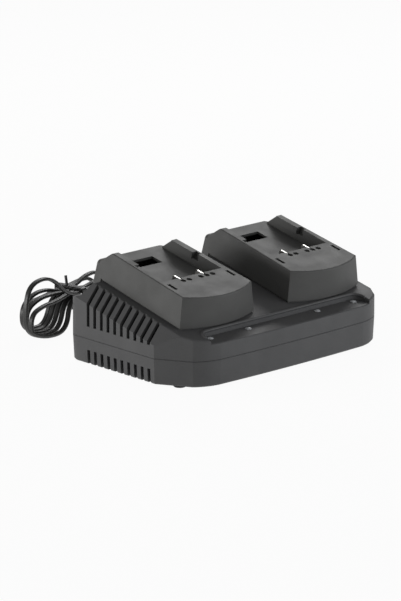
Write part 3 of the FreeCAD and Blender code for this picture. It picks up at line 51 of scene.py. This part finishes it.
class ChargerColours(bpy.types.PropertyGroup):
    casing: bpy.props.FloatVectorProperty(
        name="Casing", description="Charcoal moulded casing", subtype="COLOR", size=3, min=0, max=1,
        default=(0.078, 0.078, 0.079))
    dock: bpy.props.FloatVectorProperty(
        name="Docks", description="Moulded docks", subtype="COLOR", size=3, min=0, max=1,
        default=(0.076, 0.076, 0.073))
    cord: bpy.props.FloatVectorProperty(
        name="Cord", description="Black flexible cord", subtype="COLOR", size=3, min=0, max=1,
        default=(0.016, 0.016, 0.015))
    rubber: bpy.props.FloatVectorProperty(
        name="Rubber", description="Feet and strain relief", subtype="COLOR", size=3, min=0, max=1,
        default=(0.018, 0.018, 0.018))
    board: bpy.props.FloatVectorProperty(
        name="Circuit boards", description="Lacquered laminate", subtype="COLOR", size=3, min=0, max=1,
        default=(0.015, 0.11, 0.045))


class CordSizes(bpy.types.PropertyGroup):
    width: bpy.props.FloatProperty(
        name="Width", description="Width of the flat cord", unit="LENGTH", default=4.8 * MM, min=MM)
    thickness: bpy.props.FloatProperty(
        name="Thickness", description="Thickness of the flat cord", unit="LENGTH", default=3.2 * MM, min=MM)
    loops: bpy.props.IntProperty(
        name="Loops", description="Loops of cord in the hank", default=5, min=2, max=12)
    spacing: bpy.props.FloatProperty(
        name="Spacing", description="Spacing of the loops under the tie", unit="LENGTH", default=5.4 * MM)
    spread: bpy.props.FloatProperty(
        name="Spread", description="How far the loops fan out beyond the tie", default=1.35, min=1)
    waist: bpy.props.FloatProperty(
        name="Waist", description="Half height between the strands under the tie", unit="LENGTH",
        default=2.6 * MM)
    tall: bpy.props.FloatProperty(
        name="Tallest lobe", description="Radius of the hank's tallest lobe", unit="LENGTH",
        default=28 * MM)
    low: bpy.props.FloatProperty(
        name="Other lobes", description="Mean radius of the hank's other lobes", unit="LENGTH",
        default=16 * MM)
    long: bpy.props.FloatProperty(
        name="Tallest lobe's reach", description="Tie to the end of the tallest lobe", unit="LENGTH",
        default=91 * MM)
    reach: bpy.props.FloatProperty(
        name="Reach", description="Tie to the end of the other lobes", unit="LENGTH", default=80 * MM)
    shrink: bpy.props.FloatProperty(
        name="Shrink", description="How much each of these is shorter than the one before", unit="LENGTH",
        default=5 * MM)
    turn: bpy.props.FloatProperty(
        name="Turn", description="The hank's run turned from the X axis", subtype="ANGLE",
        default=math.radians(13))


class StageSettings(bpy.types.PropertyGroup):
    lens: bpy.props.FloatProperty(name="Lens", description="Focal length in millimetres", default=218.45)
    azimuth: bpy.props.FloatProperty(
        name="Azimuth", description="Camera's heading, turned from the depth axis", subtype="ANGLE",
        default=math.radians(43.023))
    drop: bpy.props.FloatProperty(
        name="Drop", description="Camera's downward tilt", subtype="ANGLE", default=math.radians(15.351))
    place: bpy.props.FloatVectorProperty(
        name="Camera place", description="Where the camera stands", subtype="TRANSLATION", size=3,
        default=(-2.15895, -2.26962, 0.90668))
    floor: bpy.props.FloatProperty(name="Floor", description="Side of the floor", unit="LENGTH", default=9.0)


class ShaderTree:
    """A new node material with a principled shader, built socket by socket."""

    def __init__(self, name):
        self.material = bpy.data.materials.new(name)
        self.material.use_nodes = True
        self.nodes = self.material.node_tree.nodes
        self.links = self.material.node_tree.links
        self.shader = self.nodes["Principled BSDF"]
        self.place = self.add("ShaderNodeTexCoord").outputs["Object"]

    def add(self, kind, **values):
        node = self.nodes.new(kind)
        for key, value in values.items():
            setattr(node, key, value)
        return node

    def join(self, source, target):
        self.links.new(source, target)

    def noise(self, scale, detail=3.0, roughness=0.5, stretch=None):
        """Noise over the object's own coordinates, in features per metre, stretched if asked."""
        node = self.add("ShaderNodeTexNoise")
        node.inputs["Scale"].default_value = scale
        node.inputs["Detail"].default_value = detail
        node.inputs["Roughness"].default_value = roughness
        where = self.place
        if stretch:
            mapping = self.add("ShaderNodeMapping")
            mapping.inputs["Scale"].default_value = stretch
            self.join(where, mapping.inputs["Vector"])
            where = mapping.outputs["Vector"]
        self.join(where, node.inputs["Vector"])
        return node.outputs["Fac"]

    def ramp(self, source, low, high, start=0.3, end=0.7):
        """A value spread between two numbers."""
        node = self.add("ShaderNodeMapRange")
        node.inputs["From Min"].default_value = start
        node.inputs["From Max"].default_value = end
        node.inputs["To Min"].default_value = low
        node.inputs["To Max"].default_value = high
        self.join(source, node.inputs["Value"])
        return node.outputs["Result"]

    def blend(self, share, first, second):
        """A colour between two colours or sockets."""
        node = self.add("ShaderNodeMix", data_type="RGBA")
        self.join(share, node.inputs["Factor"])
        for name, value in (("A", first), ("B", second)):
            socket = [s for s in node.inputs if s.name == name and s.type == "RGBA"][0]
            if isinstance(value, bpy.types.NodeSocket):
                self.join(value, socket)
            else:
                socket.default_value = (*value, 1.0)
        return [s for s in node.outputs if s.type == "RGBA"][0]

    def bump(self, height, distance, strength=1.0, under=None):
        """A surface relief of a given depth in metres; several may be chained."""
        node = self.add("ShaderNodeBump")
        node.inputs["Strength"].default_value = strength
        node.inputs["Distance"].default_value = distance
        self.join(height, node.inputs["Height"])
        if under is not None:
            self.join(under, node.inputs["Normal"])
        return node.outputs["Normal"]

    def finish(self, colour, roughness, normal=None, **fixed):
        for socket, value in (("Base Color", colour), ("Roughness", roughness), ("Normal", normal)):
            if isinstance(value, bpy.types.NodeSocket):
                self.join(value, self.shader.inputs[socket])
            elif value is not None:
                self.shader.inputs[socket].default_value = (*value, 1.0) if socket == "Base Color" else value
        for socket, value in fixed.items():
            self.shader.inputs[socket.replace("_", " ")].default_value = value
        return self.material


def scaled(colour, share):
    """A colour made lighter or darker."""
    return tuple(min(1.0, channel * share) for channel in colour)


def moulded_plastic(name, colour):
    """Spark-eroded matt moulding: fine pits, faint flow mottling and a soft uneven sheen."""
    tree = ShaderTree(name)
    fine = tree.noise(scale=1250.0, detail=3.0, roughness=0.65)
    flow = tree.ramp(tree.noise(scale=22.0, detail=4.0), low=0.0, high=1.0, start=0.35, end=0.65)
    specks = tree.ramp(fine, low=0.0, high=0.5, start=0.35, end=0.75)
    tint = tree.blend(flow, scaled(colour, 0.93), scaled(colour, 1.07))
    tint = tree.blend(specks, tint, scaled(colour, 1.22))
    pits = tree.bump(fine, distance=0.00007, strength=0.8)
    waves = tree.bump(tree.noise(scale=60.0, detail=2.0), distance=0.00005, strength=0.15, under=pits)
    sheen = tree.ramp(tree.noise(scale=60.0, detail=3.0), low=0.5, high=0.6)
    return tree.finish(tint, sheen, waves, IOR=1.46)


def smooth_plastic(name, colour, roughness=0.35):
    """Plain moulded plastic with a faint variation of tone and gloss."""
    tree = ShaderTree(name)
    patch = 0.1
    mottle = tree.noise(scale=160.0, detail=3.0)
    tint = tree.blend(tree.ramp(mottle, low=0, high=1), scaled(colour, 1 - patch), scaled(colour, 1 + patch))
    relief = tree.bump(tree.noise(scale=900.0, detail=2.0), distance=0.00003, strength=0.4)
    gloss = tree.ramp(mottle, low=roughness - 0.06, high=roughness + 0.08)
    return tree.finish(tint, gloss, relief)


def cord_plastic(name, colour):
    """Glossy flexible sheath with a fine unevenness and a slightly cloudy gloss."""
    tree = ShaderTree(name)
    cloud = tree.noise(scale=240.0, detail=4.0)
    tint = tree.blend(tree.ramp(cloud, low=0, high=1), scaled(colour, 0.85), scaled(colour, 1.35))
    relief = tree.bump(tree.noise(scale=700.0, detail=3.0), distance=0.00005, strength=0.35)
    gloss = tree.ramp(tree.noise(scale=120.0, detail=2.0), low=0.36, high=0.48)
    return tree.finish(tint, gloss, relief, Coat_Weight=0.08, Coat_Roughness=0.3)


def rubber(name, colour):
    """Matt rubber with a fine dusty bloom."""
    tree = ShaderTree(name)
    fine = tree.noise(scale=1300.0, detail=3.0)
    tint = tree.blend(tree.ramp(fine, low=0, high=1), scaled(colour, 0.9), scaled(colour, 1.5))
    return tree.finish(tint, 0.78, tree.bump(fine, distance=0.00008, strength=0.6))


def metal(name, colour, roughness, brushed=None):
    """Metal with streaks along one axis, or an even fine scatter."""
    tree = ShaderTree(name)
    streak = tree.noise(scale=500.0, detail=4.0, roughness=0.6, stretch=brushed)
    tint = tree.blend(tree.ramp(streak, low=0, high=1), scaled(colour, 0.88), scaled(colour, 1.08))
    gloss = tree.ramp(streak, low=roughness - 0.06, high=roughness + 0.1)
    return tree.finish(tint, gloss, tree.bump(streak, distance=0.00003, strength=0.3), Metallic=1.0)


def laminate(name, colour):
    """Lacquered circuit laminate: a fine glass weave under a glossy mask."""
    tree = ShaderTree(name)
    weave = tree.add("ShaderNodeTexWave", wave_type="BANDS", bands_direction="DIAGONAL")
    weave.inputs["Scale"].default_value = 420.0
    weave.inputs["Distortion"].default_value = 1.5
    tree.join(tree.place, weave.inputs["Vector"])
    tint = tree.blend(weave.outputs["Fac"], scaled(colour, 0.85), scaled(colour, 1.25))
    relief = tree.bump(weave.outputs["Fac"], distance=0.00002, strength=0.3)
    return tree.finish(tint, 0.28, relief, Coat_Weight=0.4)


def clear_plastic(name):
    """Clear moulding, part see-through, with an uneven polish."""
    tree = ShaderTree(name)
    haze = tree.ramp(tree.noise(scale=300.0, detail=2.0), low=0.04, high=0.12)
    return tree.finish((0.8, 0.82, 0.84), haze, None, Transmission_Weight=0.4, IOR=1.6)


def wound_wire(name, colour, pitch):
    """Lacquered copper turns: bands a wire apart, with painted shade darkening the grooves between turns."""
    tree = ShaderTree(name)
    turns = tree.add("ShaderNodeTexWave", wave_type="RINGS", rings_direction="Z")
    turns.inputs["Scale"].default_value = 1.0 / pitch
    turns.inputs["Distortion"].default_value = 0.4
    tree.join(tree.place, turns.inputs["Vector"])
    # painted shade: the copper colour darkens to about a third in the groove between each pair of turns
    tint = tree.blend(turns.outputs["Fac"], scaled(colour, 0.35), colour)
    relief = tree.bump(turns.outputs["Fac"], distance=0.0003, strength=0.6)
    return tree.finish(tint, 0.3, relief, Metallic=0.9)


def glass_tube(name):
    """Polished glass."""
    tree = ShaderTree(name)
    polish = tree.ramp(tree.noise(scale=200.0), low=0.02, high=0.06)
    return tree.finish((0.9, 0.94, 0.93), polish, None, Transmission_Weight=0.8)


def dress(names, material):
    """Give CAD nodes a finished material in every slot."""
    for name in names:
        mesh = NODES[name].data
        mesh.materials.clear()
        mesh.materials.append(material)


def colours():
    """The scene's colour settings."""
    return bpy.context.scene.charger_colours


BLACK_PLASTIC = (0.02, 0.02, 0.02)


class CHARGER_OT_casing(bpy.types.Operator):
    """Finish the two shells of the casing"""
    bl_idname = "charger.casing"
    bl_label = "Casing"

    def execute(self, context):
        casing = moulded_plastic("charcoal moulding", tuple(colours().casing))
        dress(["bottom_shell", "top_shell"], casing)
        return {"FINISHED"}


class CHARGER_OT_docks(bpy.types.Operator):
    """Finish the docks, their terminal blocks and their contact blades"""
    bl_idname = "charger.docks"
    bl_label = "Docks"

    def execute(self, context):
        dress(["dock_left", "dock_right"], moulded_plastic("dock moulding", tuple(colours().dock)))
        dress(["terminal_block_left", "terminal_block_right"],
              smooth_plastic("terminal plastic", BLACK_PLASTIC))
        dress(["contact_blades_left", "contact_blades_right"],
              metal("nickel plate", (0.8, 0.79, 0.76), 0.3, (1.0, 0.08, 1.0)))
        return {"FINISHED"}


class CHARGER_OT_lamps(bpy.types.Operator):
    """Finish the lamp lenses along the panel"""
    bl_idname = "charger.lamps"
    bl_label = "Lamps"

    def execute(self, context):
        dress([f"lamp_{number}" for number in range(1, 5)], clear_plastic("lamp lens"))
        dress(["lamp_board"], laminate("lamp laminate", tuple(colours().board)))
        return {"FINISHED"}


class CHARGER_OT_feet(bpy.types.Operator):
    """Finish the rubber feet and the strain relief"""
    bl_idname = "charger.feet"
    bl_label = "Rubber parts"

    def execute(self, context):
        black = rubber("black rubber", tuple(colours().rubber))
        feet = [f"foot_{end}_{side}" for end in ("front", "rear") for side in ("left", "right")]
        dress(feet + ["strain_relief"], black)
        return {"FINISHED"}


class CHARGER_OT_electronics(bpy.types.Operator):
    """Finish the boards and everything that stands on them"""
    bl_idname = "charger.electronics"
    bl_label = "Electronics"

    def execute(self, context):
        steel = metal("zinc-plated steel", (0.62, 0.62, 0.6), 0.34)
        dress(["dock_screws_left", "dock_screws_right", "board_screws", "case_screws", "clamp_screws"], steel)
        dress(["main_board"], laminate("board laminate", tuple(colours().board)))
        dress(["transformer_core"], smooth_plastic("ferrite", (0.035, 0.035, 0.038), 0.5))
        dress(["transformer_winding"], smooth_plastic("winding tape", (0.72, 0.46, 0.05), 0.25))
        dress(["mains_capacitor", "output_capacitors"],
              smooth_plastic("capacitor sleeve", (0.02, 0.03, 0.08), 0.22))
        dress(["switch_heat_sink", "rectifier_heat_sink"],
              metal("sink aluminium", (0.7, 0.7, 0.71), 0.38, (1, 1, 0.1)))
        dress(["power_transistors", "control_chip"], smooth_plastic("moulded epoxy", BLACK_PLASTIC, 0.45))
        dress(["filter_choke"], wound_wire("choke copper", (0.7, 0.3, 0.12), 1.1 * MM))
        dress(["fuse"], glass_tube("fuse glass"))
        dress(["mains_terminal"], smooth_plastic("terminal green", (0.03, 0.26, 0.1), 0.4))
        dress(["output_connectors"], smooth_plastic("connector nylon", (0.72, 0.7, 0.62), 0.4))
        dress(["dock_leads_left", "dock_leads_right"],
              smooth_plastic("lead insulation", (0.32, 0.015, 0.012), 0.35))
        dress(["cord_clamp"], smooth_plastic("clamp plastic", BLACK_PLASTIC, 0.4))
        dress(["mains_lead"], cord_plastic("lead sheath", tuple(colours().cord)))
        return {"FINISHED"}


class CHARGER_OT_fan(bpy.types.Operator):
    """Finish the cooling fan"""
    bl_idname = "charger.fan"
    bl_label = "Cooling fan"

    def execute(self, context):
        dress(["fan_frame"], smooth_plastic("fan frame plastic", (0.016, 0.016, 0.017), 0.42))
        dress(["fan_rotor"], smooth_plastic("fan rotor plastic", (0.02, 0.02, 0.021), 0.34))
        return {"FINISHED"}


UP = Vector((0, 0, 1))
# The middle of the tie, in metres
TIE = Vector((-0.046, 0.169, 0.0295))
# The angle in radians that the lobes' sizes swing through from one loop to the next
LOBE_SWING = 2.4
# How far the far lobes' reach and radius swing, and the near lobes' mean reach and radius with
# their swings, in millimetres
FAR_VARIES = 3
NEAR_REACH, NEAR_REACH_VARIES = 57, 4
NEAR_RADIUS, NEAR_RADIUS_VARIES = 15.5, 2.5
# How far out a lobe's crest and its foot lie, as a share of its reach
FAR_SHARE, NEAR_SHARE = 0.62, 0.68
TALLEST_CREST, TALLEST_FOOT = 0.8, 0.48
# Where the lead comes into the hank: along its run, and above its rest, in millimetres
ENTRY_ALONG, ENTRY_LEVEL = 40, 32
# How far the hank's lowest strands clear the floor, in millimetres
FLOOR_GAP = 0.1
# The free ends' own points in metres, and their straight way into and out of the hank in millimetres
LEAD_POINTS = ((0.040, 0.102, 0.014), (0.040, 0.121, 0.014), (0.042, 0.147, 0.021))
TAIL_POINTS = ((0.030, 0.208, 0.0034), (0.050, 0.205, 0.007), (0.066, 0.205, 0.007))
LEAD_WAY_IN, TAIL_WAY_OUT = 20, 18
# The length over which the cord, upright at the gland, turns to the hank's side, in metres
SETTLE_LENGTH = 0.085
# Points round the cord's section
SECTION_POINTS = 28
# Below this, two headings count as the same
SAME_HEADING = 1e-6


def hank_directions(turn):
    """The way that the hank's strands run, and the way across them."""
    run = Vector((math.cos(turn), math.sin(turn), 0))
    return run, Vector((-run.y, run.x, 0))


def hank_stations(cord):
    """Places and headings round the hank, whose loops have a far and a near lobe drawn in at the tie.

    A lobe stands on the floor: its foot, end and crest lie no, one and two radii above its rest. All but
    the tallest lobe swing in reach and radius with the cosine of the loop's number."""
    run, side_way = hank_directions(cord.turn)
    rest = cord.width / 2 + FLOOR_GAP * MM
    stations = []

    def station(along, side, level, heading):
        place = Vector((TIE.x, TIE.y, 0)) + run * along + side_way * side + UP * level
        stations.append((place, heading))

    for loop in range(cord.loops):
        side = ((0.5 - cord.loops) / 2 + loop) * cord.spacing
        if loop == 0:
            reach, radius, crest, foot = cord.long, cord.tall, TALLEST_CREST, TALLEST_FOOT
            station(ENTRY_ALONG * MM, side * cord.spread, ENTRY_LEVEL * MM + rest, -run)
        else:
            swing = math.cos(LOBE_SWING * loop)
            reach = cord.reach - cord.shrink * loop + FAR_VARIES * swing * MM
            radius = cord.low + FAR_VARIES * swing * MM
            crest = foot = FAR_SHARE
        station(0, side, TIE.z + cord.waist, -run)
        station(-crest * reach, side * cord.spread, 2 * radius + rest, -run)
        station(-reach, side * cord.spread, radius + rest, -UP)
        station(-foot * reach, side * cord.spread, rest, run)
        station(0, side + cord.spacing / 2, TIE.z - cord.waist, run)
        side += cord.spacing
        swing = math.cos(LOBE_SWING * loop + 1)
        reach = (NEAR_REACH + NEAR_REACH_VARIES * swing) * MM
        radius = (NEAR_RADIUS + NEAR_RADIUS_VARIES * swing) * MM
        station(NEAR_SHARE * reach, side * cord.spread, rest, run)
        if loop < cord.loops - 1:
            station(reach, side * cord.spread, radius + rest, UP)
            station(NEAR_SHARE * reach, side * cord.spread, 2 * radius + rest, -run)
    return stations


def corners_between(start, leaving, end, arriving):
    """The two corners of a smooth bend between two places with headings.

    Each corner is one step along its heading, and the corners lie two steps apart."""
    chord = end - start
    spread = 1 - leaving.dot(arriving)
    along = chord.dot(leaving + arriving)
    if spread < SAME_HEADING:
        step = chord.dot(chord) / (2 * along)
    else:
        step = (math.sqrt(along ** 2 + 2 * spread * chord.dot(chord)) - along) / (2 * spread)
    return [start + leaving * step, end - arriving * step]


def cord_route(cord):
    """Control points of the whole cord: out of the gland, round the hank's loops and on to the plug."""
    run, _ = hank_directions(cord.turn)
    stations = hank_stations(cord)
    straight = cord.width
    first, leaving = stations[0]
    last, arriving = stations[-1]
    hank_start, hank_end = first - leaving * straight, last + arriving * straight
    lead = [Vector(point) for point in LEAD_POINTS] + [hank_start + run * LEAD_WAY_IN * MM]
    loops = []
    for here, there in zip(stations, stations[1:]):
        loops += corners_between(*here, *there)
    tail = [hank_end + run * TAIL_WAY_OUT * MM] + [Vector(point) for point in TAIL_POINTS]
    return lead + loops + tail


def smooth_line(points):
    """Points along the smooth spline through a route, as an array, read from a curve with no thickness."""
    curve = bpy.data.curves.new("route", "CURVE")
    curve.dimensions = "3D"
    curve.resolution_u = 10
    spline = curve.splines.new("NURBS")
    spline.points.add(len(points) - 1)
    for target, point in zip(spline.points, points):
        target.co = (*point, 1.0)
    spline.order_u = 3
    spline.use_endpoint_u = True
    route = bpy.data.objects.new("route", curve)
    bpy.context.scene.collection.objects.link(route)
    mesh = bpy.data.meshes.new_from_object(route)
    line = np.empty(len(mesh.vertices) * 3)
    mesh.vertices.foreach_get("co", line)
    bpy.data.objects.remove(route)
    bpy.data.curves.remove(curve)
    bpy.data.meshes.remove(mesh)
    return line.reshape(-1, 3)


def unit(rows):
    """Each row divided by its own length."""
    return rows / np.linalg.norm(rows, axis=-1, keepdims=True)


def twin_core_section(count, width, thickness):
    """Outline of a flat twin-core cord: two round lobes joined by a shallow web on each face.

    Across it is half the width times a power of cos a. Through it is half the thickness times a power of
    sin a, less a bell-shaped dip at the middle."""
    across_power, through_power = 0.75, 0.62
    dip_depth, dip_width = 0.17, 0.14 * width
    angle = np.linspace(0, 2 * np.pi, count, endpoint=False)
    across = width / 2 * np.sign(np.cos(angle)) * np.abs(np.cos(angle)) ** across_power
    dip = 1 - dip_depth * np.exp(-(across / dip_width) ** 2)
    through = thickness / 2 * np.sign(np.sin(angle)) * np.abs(np.sin(angle)) ** through_power * dip
    return across, through


def swept_mesh(name, line, wide, section):
    """A closed tube: section point (a, b) is carried to line + a * wide + b * (tangent x wide).

    Its two ends are capped."""
    tangent = unit(np.gradient(line, axis=0))
    wide = unit(wide - tangent * np.sum(wide * tangent, axis=1, keepdims=True))
    thin = np.cross(tangent, wide)
    across, through = section
    rings = line[:, None] + across[None, :, None] * wide[:, None] + through[None, :, None] * thin[:, None]
    ring_count, around = rings.shape[:2]
    index = np.arange(ring_count * around).reshape(ring_count, around)
    quads = np.stack([index[:-1], np.roll(index, -1, 1)[:-1], np.roll(index, -1, 1)[1:], index[1:]], -1)
    faces = quads.reshape(-1, 4).tolist() + [index[0][::-1].tolist(), index[-1].tolist()]
    mesh = bpy.data.meshes.new(name)
    mesh.from_pydata(rings.reshape(-1, 3).tolist(), [], faces)
    mesh.polygons.foreach_set("use_smooth", np.ones(len(faces), bool))
    return mesh


def place_piece(name, mesh, material, body="casing"):
    """Put a finished mesh into the scene, on a body and with the given material in its slot."""
    piece = bpy.data.objects.new(name, mesh)
    mesh.materials.append(material)
    bpy.context.scene.collection.objects.link(piece)
    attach(piece, body)
    return piece


class CHARGER_OT_cord(bpy.types.Operator):
    """Lay the flat mains cord: out of the gland, round the hank and on to the plug"""
    bl_idname = "charger.cord"
    bl_label = "Mains cord"

    def execute(self, context):
        cord = context.scene.charger_cord
        line = smooth_line(cord_route(cord))
        steps = np.linalg.norm(np.diff(line, axis=0), axis=1)
        travelled = np.concatenate([[0], np.cumsum(steps)])
        _, side_way = hank_directions(cord.turn)
        settle = np.clip(travelled / SETTLE_LENGTH, 0, 1)
        share = (settle * settle * (3 - 2 * settle))[:, None]
        wide = (1 - share) * np.array(UP) + share * np.array(side_way)
        section = twin_core_section(SECTION_POINTS, cord.width, cord.thickness)
        mesh = swept_mesh("mains_cord", line, wide, section)
        sheath = cord_plastic("cord sheath", tuple(colours().cord))
        piece = place_piece("mains_cord", mesh, sheath)
        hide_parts("cord_lead", "cord_hank", "cord_tail")
        return {"FINISHED"}


class CHARGER_OT_plug(bpy.types.Operator):
    """Finish the tie round the hank, the plug and its pins"""
    bl_idname = "charger.plug"
    bl_label = "Tie and plug"

    def execute(self, context):
        dress(["cord_tie"], smooth_plastic("tie plastic", (0.013, 0.013, 0.013), 0.3))
        dress(["plug_body"], cord_plastic("plug moulding", tuple(colours().cord)))
        dress(["plug_pins"], metal("pin brass", (0.85, 0.74, 0.46), 0.22))
        return {"FINISHED"}


# The softboxes: name, place and size in metres, power in watts, and colour
SOFTBOXES = (
    ("rear key softbox", (1.05, 0.9, 0.95), (0.8, 0.5), 6.5, (1.0, 1.0, 1.0)),
    ("left fill softbox", (-1.5, 0.85, 0.3), (1.2, 0.4), 11, (1.0, 1.0, 1.0)),
    ("front fill softbox", (0.95, -1.5, 0.3), (1.6, 0.4), 10, (0.93, 0.96, 1.0)),
)
LIT_PLACE = (0, 0, 0.04)
FLOOR_COLOUR = (0.82, 0.82, 0.82, 1)
# How far the floor fades to plain white, and the sky's strength for all but the camera
FLOOR_FADE = 0.95
SKY_STRENGTH = 0.3


def area_lamp(name, place, size, power, colour):
    """A rectangular softbox that faces the object."""
    lamp = bpy.data.lights.new(name, "AREA")
    lamp.color = colour
    lamp.shape = "RECTANGLE"
    lamp.size, lamp.size_y = size
    lamp.energy = power
    holder = bpy.data.objects.new(name, lamp)
    holder.location = place
    holder.rotation_euler = (Vector(LIT_PLACE) - Vector(place)).to_track_quat("-Z", "Y").to_euler()
    bpy.context.scene.collection.objects.link(holder)


def backdrop_share(tree):
    """1 for camera, glossy and transmission rays, so that mirrors and glass show the same pale ground."""
    path = tree.nodes.new("ShaderNodeLightPath")
    either = path.outputs["Is Camera Ray"]
    for name in ("Is Glossy Ray", "Is Transmission Ray"):
        larger = tree.nodes.new("ShaderNodeMath")
        larger.operation = "MAXIMUM"
        tree.links.new(either, larger.inputs[0])
        tree.links.new(path.outputs[name], larger.inputs[1])
        either = larger.outputs[0]
    return either


class CHARGER_OT_stage(bpy.types.Operator):
    """Set up the pale floor, the soft studio light and the camera"""
    bl_idname = "charger.stage"
    bl_label = "Stage"

    def execute(self, context):
        scene = context.scene
        stage = scene.charger_stage
        self.floor(stage.floor)
        self.world(scene)
        for softbox in SOFTBOXES:
            area_lamp(*softbox)
        lens = bpy.data.cameras.new("camera")
        lens.lens = stage.lens
        lens.sensor_width = 36
        lens.clip_start, lens.clip_end = 0.05, 60
        camera = bpy.data.objects.new("camera", lens)
        camera.location = stage.place
        camera.rotation_euler = (math.pi / 2 - stage.drop, 0, -stage.azimuth)
        scene.collection.objects.link(camera)
        scene.camera = camera
        scene.view_settings.view_transform = "Standard"
        return {"FINISHED"}

    def floor(self, side):
        """A pale floor that fades to the white ground but keeps the object's shadow."""
        mesh = bpy.data.meshes.new("floor")
        half = side / 2
        rim = [(-half, -half, 0), (half, -half, 0), (half, half, 0), (-half, half, 0)]
        mesh.from_pydata(rim, [], [(0, 1, 2, 3)])
        floor = bpy.data.objects.new("floor", mesh)
        bpy.context.scene.collection.objects.link(floor)
        material = bpy.data.materials.new("pale floor")
        material.use_nodes = True
        tree = material.node_tree
        tree.nodes.clear()
        out = tree.nodes.new("ShaderNodeOutputMaterial")
        matt = tree.nodes.new("ShaderNodeBsdfDiffuse")
        matt.inputs["Color"].default_value = FLOOR_COLOUR
        glow = tree.nodes.new("ShaderNodeEmission")
        glow.inputs["Strength"].default_value = 1.0
        share = tree.nodes.new("ShaderNodeMath")
        share.operation = "MULTIPLY"
        share.inputs[1].default_value = FLOOR_FADE
        mix = tree.nodes.new("ShaderNodeMixShader")
        tree.links.new(backdrop_share(tree), share.inputs[0])
        tree.links.new(share.outputs[0], mix.inputs["Fac"])
        tree.links.new(matt.outputs[0], mix.inputs[1])
        tree.links.new(glow.outputs[0], mix.inputs[2])
        tree.links.new(mix.outputs[0], out.inputs["Surface"])
        mesh.materials.append(material)

    def world(self, scene):
        """White to the camera, a plain grey sky to everything else."""
        world = bpy.data.worlds.new("studio")
        scene.world = world
        world.use_nodes = True
        tree = world.node_tree
        ground = tree.nodes["Background"]
        strength = tree.nodes.new("ShaderNodeMapRange")
        strength.inputs["To Min"].default_value = SKY_STRENGTH
        strength.inputs["To Max"].default_value = 1.0
        path = tree.nodes.new("ShaderNodeLightPath")
        tree.links.new(path.outputs["Is Camera Ray"], strength.inputs["Value"])
        tree.links.new(strength.outputs["Result"], ground.inputs["Strength"])
        ground.inputs["Color"].default_value = (1, 1, 1, 1)


OPERATORS = (CHARGER_OT_casing, CHARGER_OT_docks, CHARGER_OT_lamps, CHARGER_OT_feet,
             CHARGER_OT_electronics, CHARGER_OT_fan, CHARGER_OT_cord, CHARGER_OT_plug, CHARGER_OT_stage)


class CHARGER_PT_panel(bpy.types.Panel):
    """Lists the charger's pieces and its settings"""
    bl_idname = "CHARGER_PT_panel"
    bl_label = "Battery Charger"
    bl_space_type = "VIEW_3D"
    bl_region_type = "UI"
    bl_category = "Charger"

    def draw(self, context):
        layout = self.layout
        for group in (context.scene.charger_colours, context.scene.charger_cord, context.scene.charger_stage):
            box = layout.box()
            for name in group.__annotations__:
                box.prop(group, name)
        for operator in OPERATORS:
            layout.operator(operator.bl_idname)


CLASSES = (ChargerColours, CordSizes, StageSettings, *OPERATORS, CHARGER_PT_panel)


def register():
    for each in CLASSES:
        bpy.utils.register_class(each)
    bpy.types.Scene.charger_colours = bpy.props.PointerProperty(type=ChargerColours)
    bpy.types.Scene.charger_cord = bpy.props.PointerProperty(type=CordSizes)
    bpy.types.Scene.charger_stage = bpy.props.PointerProperty(type=StageSettings)


def unregister():
    del bpy.types.Scene.charger_colours
    del bpy.types.Scene.charger_cord
    del bpy.types.Scene.charger_stage
    for each in reversed(CLASSES):
        bpy.utils.unregister_class(each)


def main():
    register()
    for operator in OPERATORS:
        group, name = operator.bl_idname.split(".")
        getattr(getattr(bpy.ops, group), name)()


if __name__ == "__main__":
    main()
